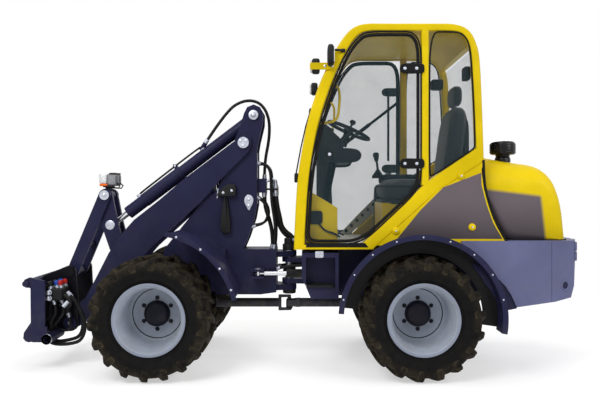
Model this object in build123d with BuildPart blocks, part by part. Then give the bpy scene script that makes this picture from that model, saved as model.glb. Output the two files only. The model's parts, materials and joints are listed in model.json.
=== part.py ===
"""Compact articulated wheel loader: every piece in one frame, millimetres.

X forward, Y to the machine's left, Z up; origin on the ground under the middle of the box.
"""

import os
from math import cos, radians, sin, sqrt, tan

from build123d import *

os.makedirs("parts", exist_ok=True)

# Driving sizes
WHEELBASE = 1720
TRACK = 920
TYRE_RADIUS = 395
TYRE_WIDTH = 380
LUG_HEIGHT = 28
LUGS_PER_SIDE = 18
LUG_WIDTH = 36
RIM_SEAT_RADIUS = 212
RIM_FLANGE_RADIUS = 232
CAB_HALF_WIDTH = 480
CAB_POST_DEPTH = 60
CAB_FLOOR_Z = 823
FLOOR_THICKNESS = 30
ROOF_Z = 2290
ROOF_THICKNESS = 45
GLASS_THICKNESS = 8
DOOR_BORDER = 20
DOOR_THICKNESS = 30
HOOD_HALF_WIDTH = 430
HOOD_WALL = 12
TAIL_HALF_WIDTH = 510
TAIL_TOP_Z = 880
FENDER_THICKNESS = 12
FENDER_REACH = 125
REAR_FENDER_RADIUS = 500
FRONT_FENDER_RADIUS = 530
TOWER_HALF_WIDTH = 110
PLATE_THICKNESS = 20
ARM_INNER_Y = 118
LEVER_HALF_WIDTH = 72
LEVER_PLATE = 24
HITCH_HALF_WIDTH = 380
SHAFT_RADIUS = 32

# Named clearances
SEAT_GAP = 0.3
PIN_GAP = 0.5
MOVING_GAP = 8

# Places that follow from the sizes
PIVOT_X = 85
FRONT_AXLE_X = PIVOT_X + WHEELBASE / 2
REAR_AXLE_X = PIVOT_X - WHEELBASE / 2
AXLE_Z = TYRE_RADIUS
WHEEL_Y = TRACK / 2
CARCASS_RADIUS = TYRE_RADIUS - LUG_HEIGHT
FENDER_OUTER_Y = CAB_HALF_WIDTH + FENDER_REACH

# Loader linkage pins, side view (X, Z)
TILT_ANCHOR = (PIVOT_X + 250, 1739)
ARM_PIVOT = (PIVOT_X + 319, 1542)
LEVER_PIVOT = (PIVOT_X + 1215, 750)
ROD_PIN = (PIVOT_X + 1278, 959)
LINK_TOP = (PIVOT_X + 1309, 1173)
HITCH_PIVOT = (PIVOT_X + 1527, 280)
LINK_FOOT = (PIVOT_X + 1533, 635)
LIFT_BASE = (PIVOT_X + 345, 560)
LIFT_EYE = (PIVOT_X + 557, 1328)
HITCH_FRONT_X = HITCH_PIVOT[0] + 228
TAIL_X = -HITCH_FRONT_X

# Steering cylinder pins, plan view (X, Y)
STEER_Z = 627
STEER_FRONT = (PIVOT_X + 215, 165)
STEER_REAR = (PIVOT_X - 285, 165)


def save(part, name):
    """Label a finished piece and write its exact solid."""
    part.label = name
    export_step(part, f"parts/{name}.step")


def side_plane(y):
    """Sketch plane seen from the machine's right: X across, Z up, growing towards -Y."""
    return Plane(origin=(0, y, 0), x_dir=(1, 0, 0), z_dir=(0, -1, 0))


def plate(outline, y_low, y_high, mode=Mode.ADD):
    """Plate with a side-view outline between two Y values."""
    with BuildSketch(side_plane(y_high)) as profile:
        with BuildLine():
            Polyline(*outline, close=True)
        make_face()
    extrude(profile.sketch, amount=y_high - y_low, mode=mode)


def slab(outline, z_low, z_high, mode=Mode.ADD):
    """Plate with a plan-view outline between two Z values."""
    with BuildSketch(Plane.XY.offset(z_low)) as profile:
        with BuildLine():
            Polyline(*outline, close=True)
        make_face()
    extrude(profile.sketch, amount=z_high - z_low, mode=mode)


def block(x_low, x_high, y_low, y_high, z_low, z_high, mode=Mode.ADD):
    """Box given by its faces."""
    with Locations(((x_low + x_high) / 2, (y_low + y_high) / 2, (z_low + z_high) / 2)):
        Box(x_high - x_low, y_high - y_low, z_high - z_low, mode=mode)


def bar(start, end, radius, mode=Mode.ADD):
    """Round bar between two points."""
    start = Vector(*start)
    run = Vector(*end) - start
    with BuildSketch(Plane(origin=start, z_dir=run.normalized())) as profile:
        Circle(radius)
    extrude(profile.sketch, amount=run.length, mode=mode)


def cross_bar(pin, y_low, y_high, radius, mode=Mode.ADD):
    """Round bar across the machine at a side-view pin."""
    bar((pin[0], y_low, pin[1]), (pin[0], y_high, pin[1]), radius, mode)


def hull_plate(discs, y_low, y_high):
    """Plate wrapped round discs given as (X, Z, radius)."""
    with BuildSketch(side_plane(y_high)) as profile:
        for x, z, radius in discs:
            with Locations((x, z)):
                Circle(radius)
        make_hull()
    extrude(profile.sketch, amount=y_high - y_low)


def along(start, end, distance):
    """Side-view point at a distance from start towards end."""
    run = Vector(end[0] - start[0], end[1] - start[1])
    step = run.normalized() * distance
    return (start[0] + step.X, start[1] + step.Y)


def span(start, end):
    """Distance between two flat points."""
    return sqrt((end[0] - start[0]) ** 2 + (end[1] - start[1]) ** 2)


# Wheels
TYRE_SECTIONS = [  # share of half width, radius
    (-0.86, RIM_FLANGE_RADIUS + 12),
    (-1.00, 0.5 * (RIM_FLANGE_RADIUS + CARCASS_RADIUS) + 6),
    (-0.97, CARCASS_RADIUS - 22),
    (-0.84, CARCASS_RADIUS),
    (0.84, CARCASS_RADIUS),
    (0.97, CARCASS_RADIUS - 22),
    (1.00, 0.5 * (RIM_FLANGE_RADIUS + CARCASS_RADIUS) + 6),
    (0.86, RIM_FLANGE_RADIUS + 12),
]
LUG_INNER_Y = -8
LUG_OUTER_Y = 0.47 * TYRE_WIDTH
LUG_SWEEP = 44
LUG_TOP = sqrt(TYRE_RADIUS**2 - (LUG_SWEEP + LUG_WIDTH / 2) ** 2)
BEAD_Y = 0.86 * TYRE_WIDTH / 2


def lug_planes(centre, first):
    """Radial planes for one row of lugs, X along the tread, Y across it."""
    planes = []
    for number in range(LUGS_PER_SIDE):
        turn = radians(first + number * 360 / LUGS_PER_SIDE)
        radial = Vector(cos(turn), 0, sin(turn))
        tangent = Vector(-sin(turn), 0, cos(turn))
        origin = centre + radial * (CARCASS_RADIUS - 40)
        planes.append(Plane(origin=origin, x_dir=tangent, z_dir=radial))
    return planes


def make_tyre(axle_x):
    """Left tyre at an axle: faceted carcass with two rows of chevron lugs."""
    centre = Vector(axle_x, WHEEL_Y, AXLE_Z)
    half = TYRE_WIDTH / 2
    with BuildPart() as tyre:
        for share, radius in TYRE_SECTIONS:
            place = Plane(
                origin=centre + Vector(0, share * half, 0), x_dir=(1, 0, 0), z_dir=(0, 1, 0)
            )
            with BuildSketch(place):
                RegularPolygon(radius, 2 * LUGS_PER_SIDE)
        loft(ruled=True)
        for side, first in ((1, 0), (-1, 180 / LUGS_PER_SIDE)):
            with BuildSketch(*lug_planes(centre, first)):
                with BuildLine():
                    Polyline(
                        (-LUG_SWEEP - LUG_WIDTH / 2, -side * LUG_OUTER_Y),
                        (-LUG_SWEEP + LUG_WIDTH / 2, -side * LUG_OUTER_Y),
                        (LUG_SWEEP + LUG_WIDTH / 2, -side * LUG_INNER_Y),
                        (LUG_SWEEP - LUG_WIDTH / 2, -side * LUG_INNER_Y),
                        close=True,
                    )
                make_face()
            extrude(amount=LUG_TOP - CARCASS_RADIUS + 40)
        bore = Plane(origin=centre - Vector(0, TYRE_WIDTH, 0), x_dir=(1, 0, 0), z_dir=(0, 1, 0))
        with BuildSketch(bore):
            Circle(RIM_SEAT_RADIUS)
        extrude(amount=2 * TYRE_WIDTH, mode=Mode.SUBTRACT)
    return tyre.part


DISC_Y = -64
DISC_THICKNESS = 16
HUB_RADIUS = 82
HUB_HEIGHT = 46


def make_rim(axle_x):
    """Left rim at an axle: deep-dished wheel with its hub cap."""
    centre = Vector(axle_x, WHEEL_Y, AXLE_Z)
    flange_low = BEAD_Y + SEAT_GAP
    flange_high = flange_low + 12
    barrel = RIM_SEAT_RADIUS - SEAT_GAP
    with BuildPart() as rim:
        with BuildSketch(Plane(origin=centre, x_dir=(1, 0, 0), z_dir=(0, 0, 1))):
            with BuildLine():
                Polyline(
                    (RIM_FLANGE_RADIUS, flange_low),
                    (RIM_FLANGE_RADIUS, flange_high),
                    (barrel - 2, flange_high),
                    (barrel - 16, flange_low - 26),
                    (barrel - 24, DISC_Y),
                    (HUB_RADIUS, DISC_Y),
                    (HUB_RADIUS - 8, DISC_Y + HUB_HEIGHT),
                    (0, DISC_Y + HUB_HEIGHT),
                    (0, DISC_Y - DISC_THICKNESS),
                    (barrel - 24, DISC_Y - DISC_THICKNESS),
                    (barrel - 12, -flange_high),
                    (RIM_FLANGE_RADIUS, -flange_high),
                    (RIM_FLANGE_RADIUS, -flange_low),
                    (barrel, -flange_low),
                    (barrel, flange_low),
                    close=True,
                )
            make_face()
        revolve(axis=Axis(centre, (0, 1, 0)))
    return rim.part


for end, axle_x in (("front", FRONT_AXLE_X), ("rear", REAR_AXLE_X)):
    tyre_part = make_tyre(axle_x)
    rim_part = make_rim(axle_x)
    save(mirror(tyre_part, about=Plane.XZ), f"tyre_{end}_right")
    save(mirror(rim_part, about=Plane.XZ), f"rim_{end}_right")
    save(tyre_part, f"tyre_{end}_left")
    save(rim_part, f"rim_{end}_left")

# Axles
NOSE = 200
HUB_FACE_Y = WHEEL_Y + DISC_Y - DISC_THICKNESS - SEAT_GAP
AXLE_PROFILE = [  # Y, radius, from the middle to a hub
    (56, 118),
    (84, 58),
    (HUB_FACE_Y - 60, 58),
    (HUB_FACE_Y - 46, 104),
    (HUB_FACE_Y, 104),
]


def make_axle(axle_x, nose):
    """Rigid axle: hubs, tubes and a middle housing with a nose towards the drive shaft."""
    centre = Vector(axle_x, 0, AXLE_Z)
    points = [(0, HUB_FACE_Y)]
    points += [(radius, y) for y, radius in reversed(AXLE_PROFILE)]
    points += [(radius, -y) for y, radius in AXLE_PROFILE]
    points += [(0, -HUB_FACE_Y)]
    with BuildPart() as axle:
        with BuildSketch(Plane(origin=centre, x_dir=(1, 0, 0), z_dir=(0, 0, 1))):
            with BuildLine():
                Polyline(*points, close=True)
            make_face()
        revolve(axis=Axis(centre, (0, 1, 0)))
        bar((axle_x, 0, AXLE_Z), (axle_x + nose * NOSE, 0, AXLE_Z), 62)
    return axle.part


# Drive shaft, split by a cross joint under the steering pivot
YOKE_REACH = 62
YOKE_PLATE = 14
CROSS_RADIUS = 14
with BuildPart() as front_axle:
    add(make_axle(FRONT_AXLE_X, -1))
    bar((FRONT_AXLE_X - NOSE + 5, 0, AXLE_Z), (PIVOT_X + YOKE_REACH, 0, AXLE_Z), SHAFT_RADIUS)
    block(PIVOT_X + YOKE_REACH - 4, PIVOT_X + YOKE_REACH + 16, -26, 26, AXLE_Z - 54, AXLE_Z + 54)
    for low in (AXLE_Z - 54, AXLE_Z + 40):
        slab(
            [
                (PIVOT_X + YOKE_REACH, -26),
                (PIVOT_X + YOKE_REACH, 26),
                (PIVOT_X - 12, 18),
                (PIVOT_X - 12, -18),
            ],
            low,
            low + YOKE_PLATE,
        )
save(front_axle.part, "front_axle")

with BuildPart() as rear_axle:
    add(make_axle(REAR_AXLE_X, 1))
    bar((REAR_AXLE_X + NOSE - 5, 0, AXLE_Z), (PIVOT_X - YOKE_REACH, 0, AXLE_Z), SHAFT_RADIUS)
    block(PIVOT_X - YOKE_REACH - 16, PIVOT_X - YOKE_REACH + 4, -46, 46, AXLE_Z - 26, AXLE_Z + 26)
    for low in (-46, 32):
        plate(
            [
                (PIVOT_X - YOKE_REACH, AXLE_Z - 26),
                (PIVOT_X - YOKE_REACH, AXLE_Z + 26),
                (PIVOT_X + 12, AXLE_Z + 18),
                (PIVOT_X + 12, AXLE_Z - 18),
            ],
            low,
            low + YOKE_PLATE,
        )
    cross_bar((PIVOT_X, AXLE_Z), -34, 34, CROSS_RADIUS)
    bar((PIVOT_X, 0, AXLE_Z - 39), (PIVOT_X, 0, AXLE_Z + 39), CROSS_RADIUS)
save(rear_axle.part, "rear_axle")

# Steering pivot lugs, Z bands from the top
FRONT_LUG_HIGH = (732, 772)
REAR_LUG_HIGH = (692, 727)
REAR_LUG_LOW = (540, 575)
FRONT_LUG_LOW = (495, 535)
PIVOT_PIN_RADIUS = 30
LUG_END_RADIUS = 52
FRAME_TOP_Z = 790
FRAME_LOW_Z = 470
FRONT_WALL_X = PIVOT_X + 95
PAD_Z = AXLE_Z + 58 + SEAT_GAP


def lug(base_x, half, band):
    """Flat lug with a round end at the steering pivot."""
    with BuildSketch(Plane.XY.offset(band[0])) as profile:
        with Locations((PIVOT_X, 0)):
            Circle(LUG_END_RADIUS)
        with Locations((base_x, half - 4), (base_x, 4 - half)):
            Circle(4)
        make_hull()
    extrude(profile.sketch, amount=band[1] - band[0])


TOWER_INNER = TOWER_HALF_WIDTH - PLATE_THICKNESS

# Loader tower: two plates with cross walls and the steering pivot lugs
TOWER_OUTLINE = [  # X from the steering pivot, Z
    (183, 1760),
    (205, 1796),
    (250, 1815),
    (296, 1796),
    (318, 1752),
    (352, 1640),
    (385, 1560),
    (385, 1500),
    (445, 1330),
    (515, 1200),
    (640, 1092),
    (750, 958),
    (875, 800),
    (930, 620),
    (930, 470),
    (200, 470),
    (89, 485),
    (89, 790),
    (322, 790),
    (290, 865),
    (245, 1000),
    (226, 1105),
    (226, 1490),
    (214, 1560),
    (185, 1680),
]
TOWER_EDGE = [(PIVOT_X + x, z) for x, z in TOWER_OUTLINE]
TOP_PIN_RADIUS = 22
MANIFOLD = (PIVOT_X + 165, PIVOT_X + 236, -80, 80, 1190, 1290)
with BuildPart() as loader_tower:
    plate(TOWER_EDGE, TOWER_INNER, TOWER_HALF_WIDTH)
    mirror(about=Plane.XZ)
    half = TOWER_INNER + 5
    block(FRONT_WALL_X, FRONT_WALL_X + 24, -half, half, FRAME_LOW_Z + 15, FRAME_TOP_Z)
    block(FRONT_WALL_X, PIVOT_X + 322, -half, half, FRAME_TOP_Z - 20, FRAME_TOP_Z)
    for band in (FRONT_LUG_HIGH, FRONT_LUG_LOW):
        lug(FRONT_WALL_X + 10, TOWER_INNER, band)
        bar((PIVOT_X, 0, band[0]), (PIVOT_X, 0, band[1]), PIVOT_PIN_RADIUS, Mode.SUBTRACT)
    for side in (-1, 1):
        low, high = sorted((side * (TOWER_INNER + 6), side * (TOWER_HALF_WIDTH + 1)))
        block(PIVOT_X + 80, PIVOT_X + 140, low, high, STEER_Z - 32, STEER_Z + 32, Mode.SUBTRACT)
    block(*MANIFOLD)
    block(PIVOT_X + 232, PIVOT_X + 248, -TOWER_HALF_WIDTH + 5, TOWER_HALF_WIDTH - 5, 1110, 1480)
    block(PIVOT_X + 640, PIVOT_X + 660, -TOWER_HALF_WIDTH + 5, TOWER_HALF_WIDTH - 5, 530, 960)
    cross_bar(TILT_ANCHOR, -TOWER_HALF_WIDTH - 12, TOWER_HALF_WIDTH + 12, TOP_PIN_RADIUS)
    for side in (-1, 1):
        low, high = sorted((side * TOWER_HALF_WIDTH, side * (TOWER_HALF_WIDTH + 12)))
        cross_bar(TILT_ANCHOR, low, high, 36)
    cross_bar(ARM_PIVOT, -ARM_INNER_Y - PLATE_THICKNESS - 12, ARM_INNER_Y + PLATE_THICKNESS + 12, 26)
    cross_bar(LIFT_BASE, -TOWER_HALF_WIDTH + 5, TOWER_HALF_WIDTH - 5, 20)
    for side in (-1, 1):
        low, high = sorted((side * TOWER_INNER, side * 150))
        block(FRONT_AXLE_X - 70, FRONT_AXLE_X + 70, low, high, PAD_Z, max(FRAME_LOW_Z, PAD_Z) + 10)
    for side in (-1, 1):
        low, high = sorted((side * (TOWER_HALF_WIDTH - 2), side * 205))
        for z in (STEER_Z - 32, STEER_Z + 18):
            slab(
                [
                    (STEER_FRONT[0] - 45, low),
                    (STEER_FRONT[0] + 45, low),
                    (STEER_FRONT[0] + 45, high),
                    (STEER_FRONT[0] - 45, high),
                ],
                z,
                z + 14,
            )
save(loader_tower.part, "loader_tower")


def fender(axle_x, radius, first, last, y_low, y_high, lip):
    """Mudguard strip round a wheel between two angles from straight ahead, with an outer lip."""
    centre = (axle_x, AXLE_Z)
    shell = [(radius, radius + FENDER_THICKNESS, y_low, y_high)]
    shell += [(radius, radius + lip, y_high - FENDER_THICKNESS, y_high)]
    for inner, outer, low, high in shell:
        with BuildSketch(side_plane(high)) as profile:
            with BuildLine():
                rim_arc = CenterArc(centre, inner, first, last - first)
                top_arc = CenterArc(centre, outer, first, last - first)
                Line(rim_arc @ 0, top_arc @ 0)
                Line(rim_arc @ 1, top_arc @ 1)
            make_face()
        extrude(profile.sketch, amount=high - low)


with BuildPart() as front_fenders:
    fender(FRONT_AXLE_X, FRONT_FENDER_RADIUS, 100, 167, TOWER_HALF_WIDTH + 60, FENDER_OUTER_Y, 30)
    block(FRONT_AXLE_X - 420, FRONT_AXLE_X - 380, TOWER_HALF_WIDTH + SEAT_GAP,
          TOWER_HALF_WIDTH + 90, AXLE_Z + 335, AXLE_Z + 400)
    mirror(about=Plane.XZ)
save(front_fenders.part, "front_fenders")

# Lift arm: two plates straddling the tower
ARM_OUTLINE = [  # X from the steering pivot, Z
    (262, 1535),
    (270, 1580),
    (319, 1602),
    (374, 1560),
    (739, 1286),
    (906, 1143),
    (1089, 999),
    (1163, 916),
    (1266, 767),
    (1351, 600),
    (1429, 452),
    (1560, 345),
    (1590, 290),
    (1578, 238),
    (1530, 218),
    (1442, 272),
    (976, 797),
    (837, 925),
    (620, 1123),
    (482, 1281),
    (284, 1478),
]
ARM_EDGE = [(PIVOT_X + x, z) for x, z in ARM_OUTLINE]
ARM_OUTER_Y = ARM_INNER_Y + PLATE_THICKNESS
ARM_TUBE = (PIVOT_X + 765, 1140)
ARM_TUBE_RADIUS = 48
ARM_TIP_TUBE = (PIVOT_X + 1330, 500)
with BuildPart() as lift_arm:
    plate(ARM_EDGE, ARM_INNER_Y, ARM_OUTER_Y)
    cross_bar(LIFT_EYE, 34, ARM_INNER_Y + 2, 34)
    mirror(about=Plane.XZ)
    cross_bar(ARM_TUBE, -ARM_INNER_Y - 2, ARM_INNER_Y + 2, ARM_TUBE_RADIUS)
    cross_bar(ARM_TIP_TUBE, -ARM_INNER_Y - 2, ARM_INNER_Y + 2, 40)
    cross_bar(ARM_PIVOT, -400, 400, 26 + PIN_GAP, Mode.SUBTRACT)
    cross_bar(LEVER_PIVOT, -400, 400, 25 + PIN_GAP, Mode.SUBTRACT)
    cross_bar(HITCH_PIVOT, -400, 400, 28 + PIN_GAP, Mode.SUBTRACT)
save(lift_arm.part, "lift_arm")

with BuildPart() as frame_pins:
    cross_bar(ARM_PIVOT, ARM_OUTER_Y + 4, ARM_OUTER_Y + 16, 39)
    cross_bar(ARM_PIVOT, ARM_OUTER_Y, ARM_OUTER_Y + 12 + SEAT_GAP, 26 + SEAT_GAP, Mode.SUBTRACT)
    mirror(about=Plane.XZ)
    pin_foot = FRONT_LUG_LOW[0] - 27
    bar((PIVOT_X, 0, pin_foot), (PIVOT_X, 0, FRONT_LUG_HIGH[1] + 2), PIVOT_PIN_RADIUS - SEAT_GAP)
    bar((PIVOT_X, 0, pin_foot), (PIVOT_X, 0, FRONT_LUG_LOW[0] - SEAT_GAP), 46)
    bar((PIVOT_X, 0, FRONT_LUG_HIGH[1] + SEAT_GAP), (PIVOT_X, 0, FRONT_LUG_HIGH[1] + 44), 46)
    bar((PIVOT_X, 0, FRONT_LUG_HIGH[1] + 40), (PIVOT_X, 0, FRONT_LUG_HIGH[1] + 88), 34)
save(frame_pins.part, "frame_pins")

# Tilt lever, its pivot pin and the link to the hitch
LEVER_PIN_RADIUS = 25
LINK_PIN_RADIUS = 20
LINK_INNER = LEVER_HALF_WIDTH + MOVING_GAP
LINK_PLATE = 16
LINK_OUTER = LINK_INNER + LINK_PLATE
with BuildPart() as lever_pin:
    cross_bar(LEVER_PIVOT, -ARM_OUTER_Y, ARM_OUTER_Y, LEVER_PIN_RADIUS)
save(lever_pin.part, "lever_pin")

with BuildPart() as tilt_lever:
    hull_plate(
        [(*LEVER_PIVOT, 50), (*ROD_PIN, 58)], LEVER_HALF_WIDTH - LEVER_PLATE, LEVER_HALF_WIDTH
    )
    hull_plate([(*ROD_PIN, 58), (*LINK_TOP, 46)], LEVER_HALF_WIDTH - LEVER_PLATE, LEVER_HALF_WIDTH)
    cross_bar(ROD_PIN, LEVER_HALF_WIDTH - 2, LEVER_HALF_WIDTH + 2, 36)
    mirror(about=Plane.XZ)
    cross_bar(LEVER_PIVOT, -LEVER_HALF_WIDTH, LEVER_HALF_WIDTH, 46)
    cross_bar(LINK_TOP, -LEVER_HALF_WIDTH, LEVER_HALF_WIDTH, 38)
    cross_bar(LEVER_PIVOT, -200, 200, LEVER_PIN_RADIUS + PIN_GAP, Mode.SUBTRACT)
    cross_bar(LINK_TOP, -200, 200, LINK_PIN_RADIUS + PIN_GAP, Mode.SUBTRACT)
save(tilt_lever.part, "tilt_lever")

with BuildPart() as link_pin:
    cross_bar(LINK_TOP, -LINK_OUTER - 12, LINK_OUTER + 12, LINK_PIN_RADIUS)
    for side in (-1, 1):
        low, high = sorted((side * (LINK_OUTER + 2), side * (LINK_OUTER + 12)))
        cross_bar(LINK_TOP, low, high, 34)
save(link_pin.part, "link_pin")

LINK_SLOPE = along(LINK_TOP, LINK_FOOT, 0.65 * span(LINK_TOP, LINK_FOOT))
with BuildPart() as tilt_link:
    hull_plate([(*LINK_TOP, 42), (*LINK_FOOT, 42)], LINK_INNER, LINK_OUTER)
    mirror(about=Plane.XZ)
    cross_bar(LINK_SLOPE, -LINK_INNER - 2, LINK_INNER + 2, 22)
    cross_bar(LINK_FOOT, -LINK_INNER - 2, LINK_INNER + 2, 30)
    cross_bar(LINK_TOP, -200, 200, LINK_PIN_RADIUS + PIN_GAP, Mode.SUBTRACT)
save(tilt_link.part, "tilt_link")

# Hitch frame and its pivot pin
HITCH_PIN_RADIUS = 28
EAR_INNER = ARM_OUTER_Y + MOVING_GAP
EAR_OUTER = EAR_INNER + 16
HITCH_BACK_X = HITCH_FRONT_X - 146
TOP_BAR = (HITCH_FRONT_X - 22, 588)
TOP_BAR_RADIUS = 24
STUB_RADIUS = 20
STUB_LENGTH = 20
LOCK_TUBE = (HITCH_PIVOT[0] + 73, 218)
LOCK_RADIUS = 20
SIDE_OUTLINE = [  # X from the front of the hitch, Z
    (-142, 575),
    (-138, 606),
    (-40, 628),
    (-6, 612),
    (-12, 572),
    (-48, 556),
    (-50, 330),
    (-4, 262),
    (0, 224),
    (-16, 204),
    (-36, 198),
    (-62, 202),
    (-104, 240),
    (-142, 286),
]
with BuildPart() as hitch_pin:
    cross_bar(HITCH_PIVOT, -EAR_OUTER - 12, EAR_OUTER + 12, HITCH_PIN_RADIUS)
    for side in (-1, 1):
        low, high = sorted((side * (EAR_OUTER + 2), side * (EAR_OUTER + 12)))
        cross_bar(HITCH_PIVOT, low, high, 44)
save(hitch_pin.part, "hitch_pin")

with BuildPart() as hitch:
    plate([(HITCH_FRONT_X + x, z) for x, z in SIDE_OUTLINE], HITCH_HALF_WIDTH - 16, HITCH_HALF_WIDTH)
    hull_plate(
        [
            (*HITCH_PIVOT, 58),
            (*LINK_FOOT, 46),
            (HITCH_FRONT_X - 62, 590, 26),
            (HITCH_FRONT_X - 70, 240, 30),
        ],
        EAR_INNER,
        EAR_OUTER,
    )
    cross_bar(LINK_FOOT, EAR_OUTER - 2, EAR_OUTER + 10, 34)
    mirror(about=Plane.XZ)
    cross_bar(TOP_BAR, -HITCH_HALF_WIDTH, HITCH_HALF_WIDTH, TOP_BAR_RADIUS)
    cross_bar(TOP_BAR, -HITCH_HALF_WIDTH - STUB_LENGTH, HITCH_HALF_WIDTH + STUB_LENGTH, STUB_RADIUS)
    block(HITCH_FRONT_X - 72, HITCH_FRONT_X - 52, -HITCH_HALF_WIDTH + 2, HITCH_HALF_WIDTH - 2, 500, 570)
    block(HITCH_FRONT_X - 72, HITCH_FRONT_X - 52, -HITCH_HALF_WIDTH + 2, HITCH_HALF_WIDTH - 2, 215, 300)
    block(HITCH_FRONT_X - 60, HITCH_FRONT_X - 14, -HITCH_HALF_WIDTH + 2, HITCH_HALF_WIDTH - 2, 560, 580)
    for side in (-1, 1):
        low, high = sorted((side * (EAR_OUTER - 2), side * (HITCH_HALF_WIDTH + 6)))
        near, far = sorted((side * (HITCH_HALF_WIDTH - 16), side * HITCH_HALF_WIDTH))
        block(LOCK_TUBE[0], HITCH_FRONT_X - 60, near, far, LOCK_TUBE[1] - 20, 300)
        cross_bar(LOCK_TUBE, low, high, 34)
        cross_bar(LOCK_TUBE, low, high, LOCK_RADIUS, Mode.SUBTRACT)
    cross_bar(HITCH_PIVOT, -EAR_OUTER, EAR_OUTER, HITCH_PIN_RADIUS + PIN_GAP, Mode.SUBTRACT)
save(hitch.part, "hitch")


def round_run(start, end, y, table):
    """Stepped round bar along a side-view line, rows of (from, to, radius)."""
    for first, last, radius in table:
        low = along(start, end, first)
        high = along(start, end, last)
        bar((low[0], y, low[1]), (high[0], y, high[1]), radius)


def round_hole(start, end, y, first, last, radius):
    """Bore along a side-view line."""
    low = along(start, end, first)
    high = along(start, end, last)
    bar((low[0], y, low[1]), (high[0], y, high[1]), radius, Mode.SUBTRACT)


def beside(distance, height):
    """Point at a distance along the tilt cylinder and a height over its axis."""
    foot = along(TILT_ANCHOR, ROD_PIN, distance)
    slope = Vector(ROD_PIN[0] - TILT_ANCHOR[0], ROD_PIN[1] - TILT_ANCHOR[1]).normalized()
    return (foot[0] - slope.Y * height, 0, foot[1] + slope.X * height)


# Tilt cylinder
TILT_LENGTH = span(TILT_ANCHOR, ROD_PIN)
GLAND = TILT_LENGTH - 140
TILT_ROD_RADIUS = 22
GLAND_RADIUS = LEVER_HALF_WIDTH - LEVER_PLATE - 2
PORT = 444
PORT_HEIGHT = 50
ELBOW_REACH = 46
ELBOW_RADIUS = 16
TILT_EYE_HALF = LEVER_HALF_WIDTH - LEVER_PLATE - MOVING_GAP
ELBOW_SLOPE = Vector(-0.544, 0, 0.839)
ELBOW_END = Vector(*beside(PORT, PORT_HEIGHT)) + ELBOW_SLOPE * ELBOW_REACH
with BuildPart() as tilt_barrel:
    cross_bar(TILT_ANCHOR, -70, 70, 46)
    round_run(
        TILT_ANCHOR,
        ROD_PIN,
        0,
        [(20, 670, 44), (660, 690, 56), (690, GLAND - 150, 50), (GLAND - 160, GLAND, GLAND_RADIUS)],
    )
    bar(beside(PORT, 30), beside(PORT, PORT_HEIGHT + 14), 19)
    bar(beside(PORT, PORT_HEIGHT), ELBOW_END, ELBOW_RADIUS)
    cross_bar(TILT_ANCHOR, -200, 200, TOP_PIN_RADIUS + PIN_GAP, Mode.SUBTRACT)
    round_hole(TILT_ANCHOR, ROD_PIN, 0, GLAND - 420, GLAND + 10, TILT_ROD_RADIUS + PIN_GAP)
save(tilt_barrel.part, "tilt_barrel")

with BuildPart() as tilt_rod:
    round_run(TILT_ANCHOR, ROD_PIN, 0, [(GLAND - 330, TILT_LENGTH - 20, TILT_ROD_RADIUS)])
    cross_bar(ROD_PIN, -TILT_EYE_HALF, TILT_EYE_HALF, 44)
save(tilt_rod.part, "tilt_rod")

# Lift cylinder, between the tower plates
LIFT_LENGTH = span(LIFT_BASE, LIFT_EYE)
LIFT_BARREL = LIFT_LENGTH - 130
with BuildPart() as lift_barrel:
    cross_bar(LIFT_BASE, -40, 40, 42)
    round_run(LIFT_BASE, LIFT_EYE, 0, [(20, LIFT_BARREL, 42)])
    cross_bar(LIFT_BASE, -200, 200, 20 + PIN_GAP, Mode.SUBTRACT)
    round_hole(LIFT_BASE, LIFT_EYE, 0, 110, LIFT_BARREL + 10, 22 + PIN_GAP)
save(lift_barrel.part, "lift_barrel")

with BuildPart() as lift_rod:
    round_run(LIFT_BASE, LIFT_EYE, 0, [(190, LIFT_LENGTH - 20, 22)])
    cross_bar(LIFT_EYE, -26, 26, 38)
save(lift_rod.part, "lift_rod")

# Steering cylinder
STEER_LENGTH = span(STEER_REAR, STEER_FRONT)
with BuildPart() as steer_barrel:
    bar((*STEER_REAR, STEER_Z - 14), (*STEER_REAR, STEER_Z + 14), 30)
    bar((STEER_REAR[0] + 10, STEER_REAR[1], STEER_Z), (STEER_REAR[0] + 60, STEER_REAR[1], STEER_Z), 13)
    bar((STEER_REAR[0] + 48, STEER_REAR[1], STEER_Z), (STEER_REAR[0] + 300, STEER_REAR[1], STEER_Z), 30)
    bar((*STEER_REAR, STEER_Z - 60), (*STEER_REAR, STEER_Z + 60), 14 + PIN_GAP, Mode.SUBTRACT)
    bar((STEER_REAR[0] + 56, STEER_REAR[1], STEER_Z), (STEER_REAR[0] + 330, STEER_REAR[1], STEER_Z),
        15 + PIN_GAP, Mode.SUBTRACT)
save(steer_barrel.part, "steer_barrel")

with BuildPart() as steer_rod:
    bar((STEER_REAR[0] + 172, STEER_REAR[1], STEER_Z), (STEER_FRONT[0] - 10, STEER_FRONT[1], STEER_Z), 15)
    bar((*STEER_FRONT, STEER_Z - 13), (*STEER_FRONT, STEER_Z + 13), 21)
save(steer_rod.part, "steer_rod")

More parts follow.
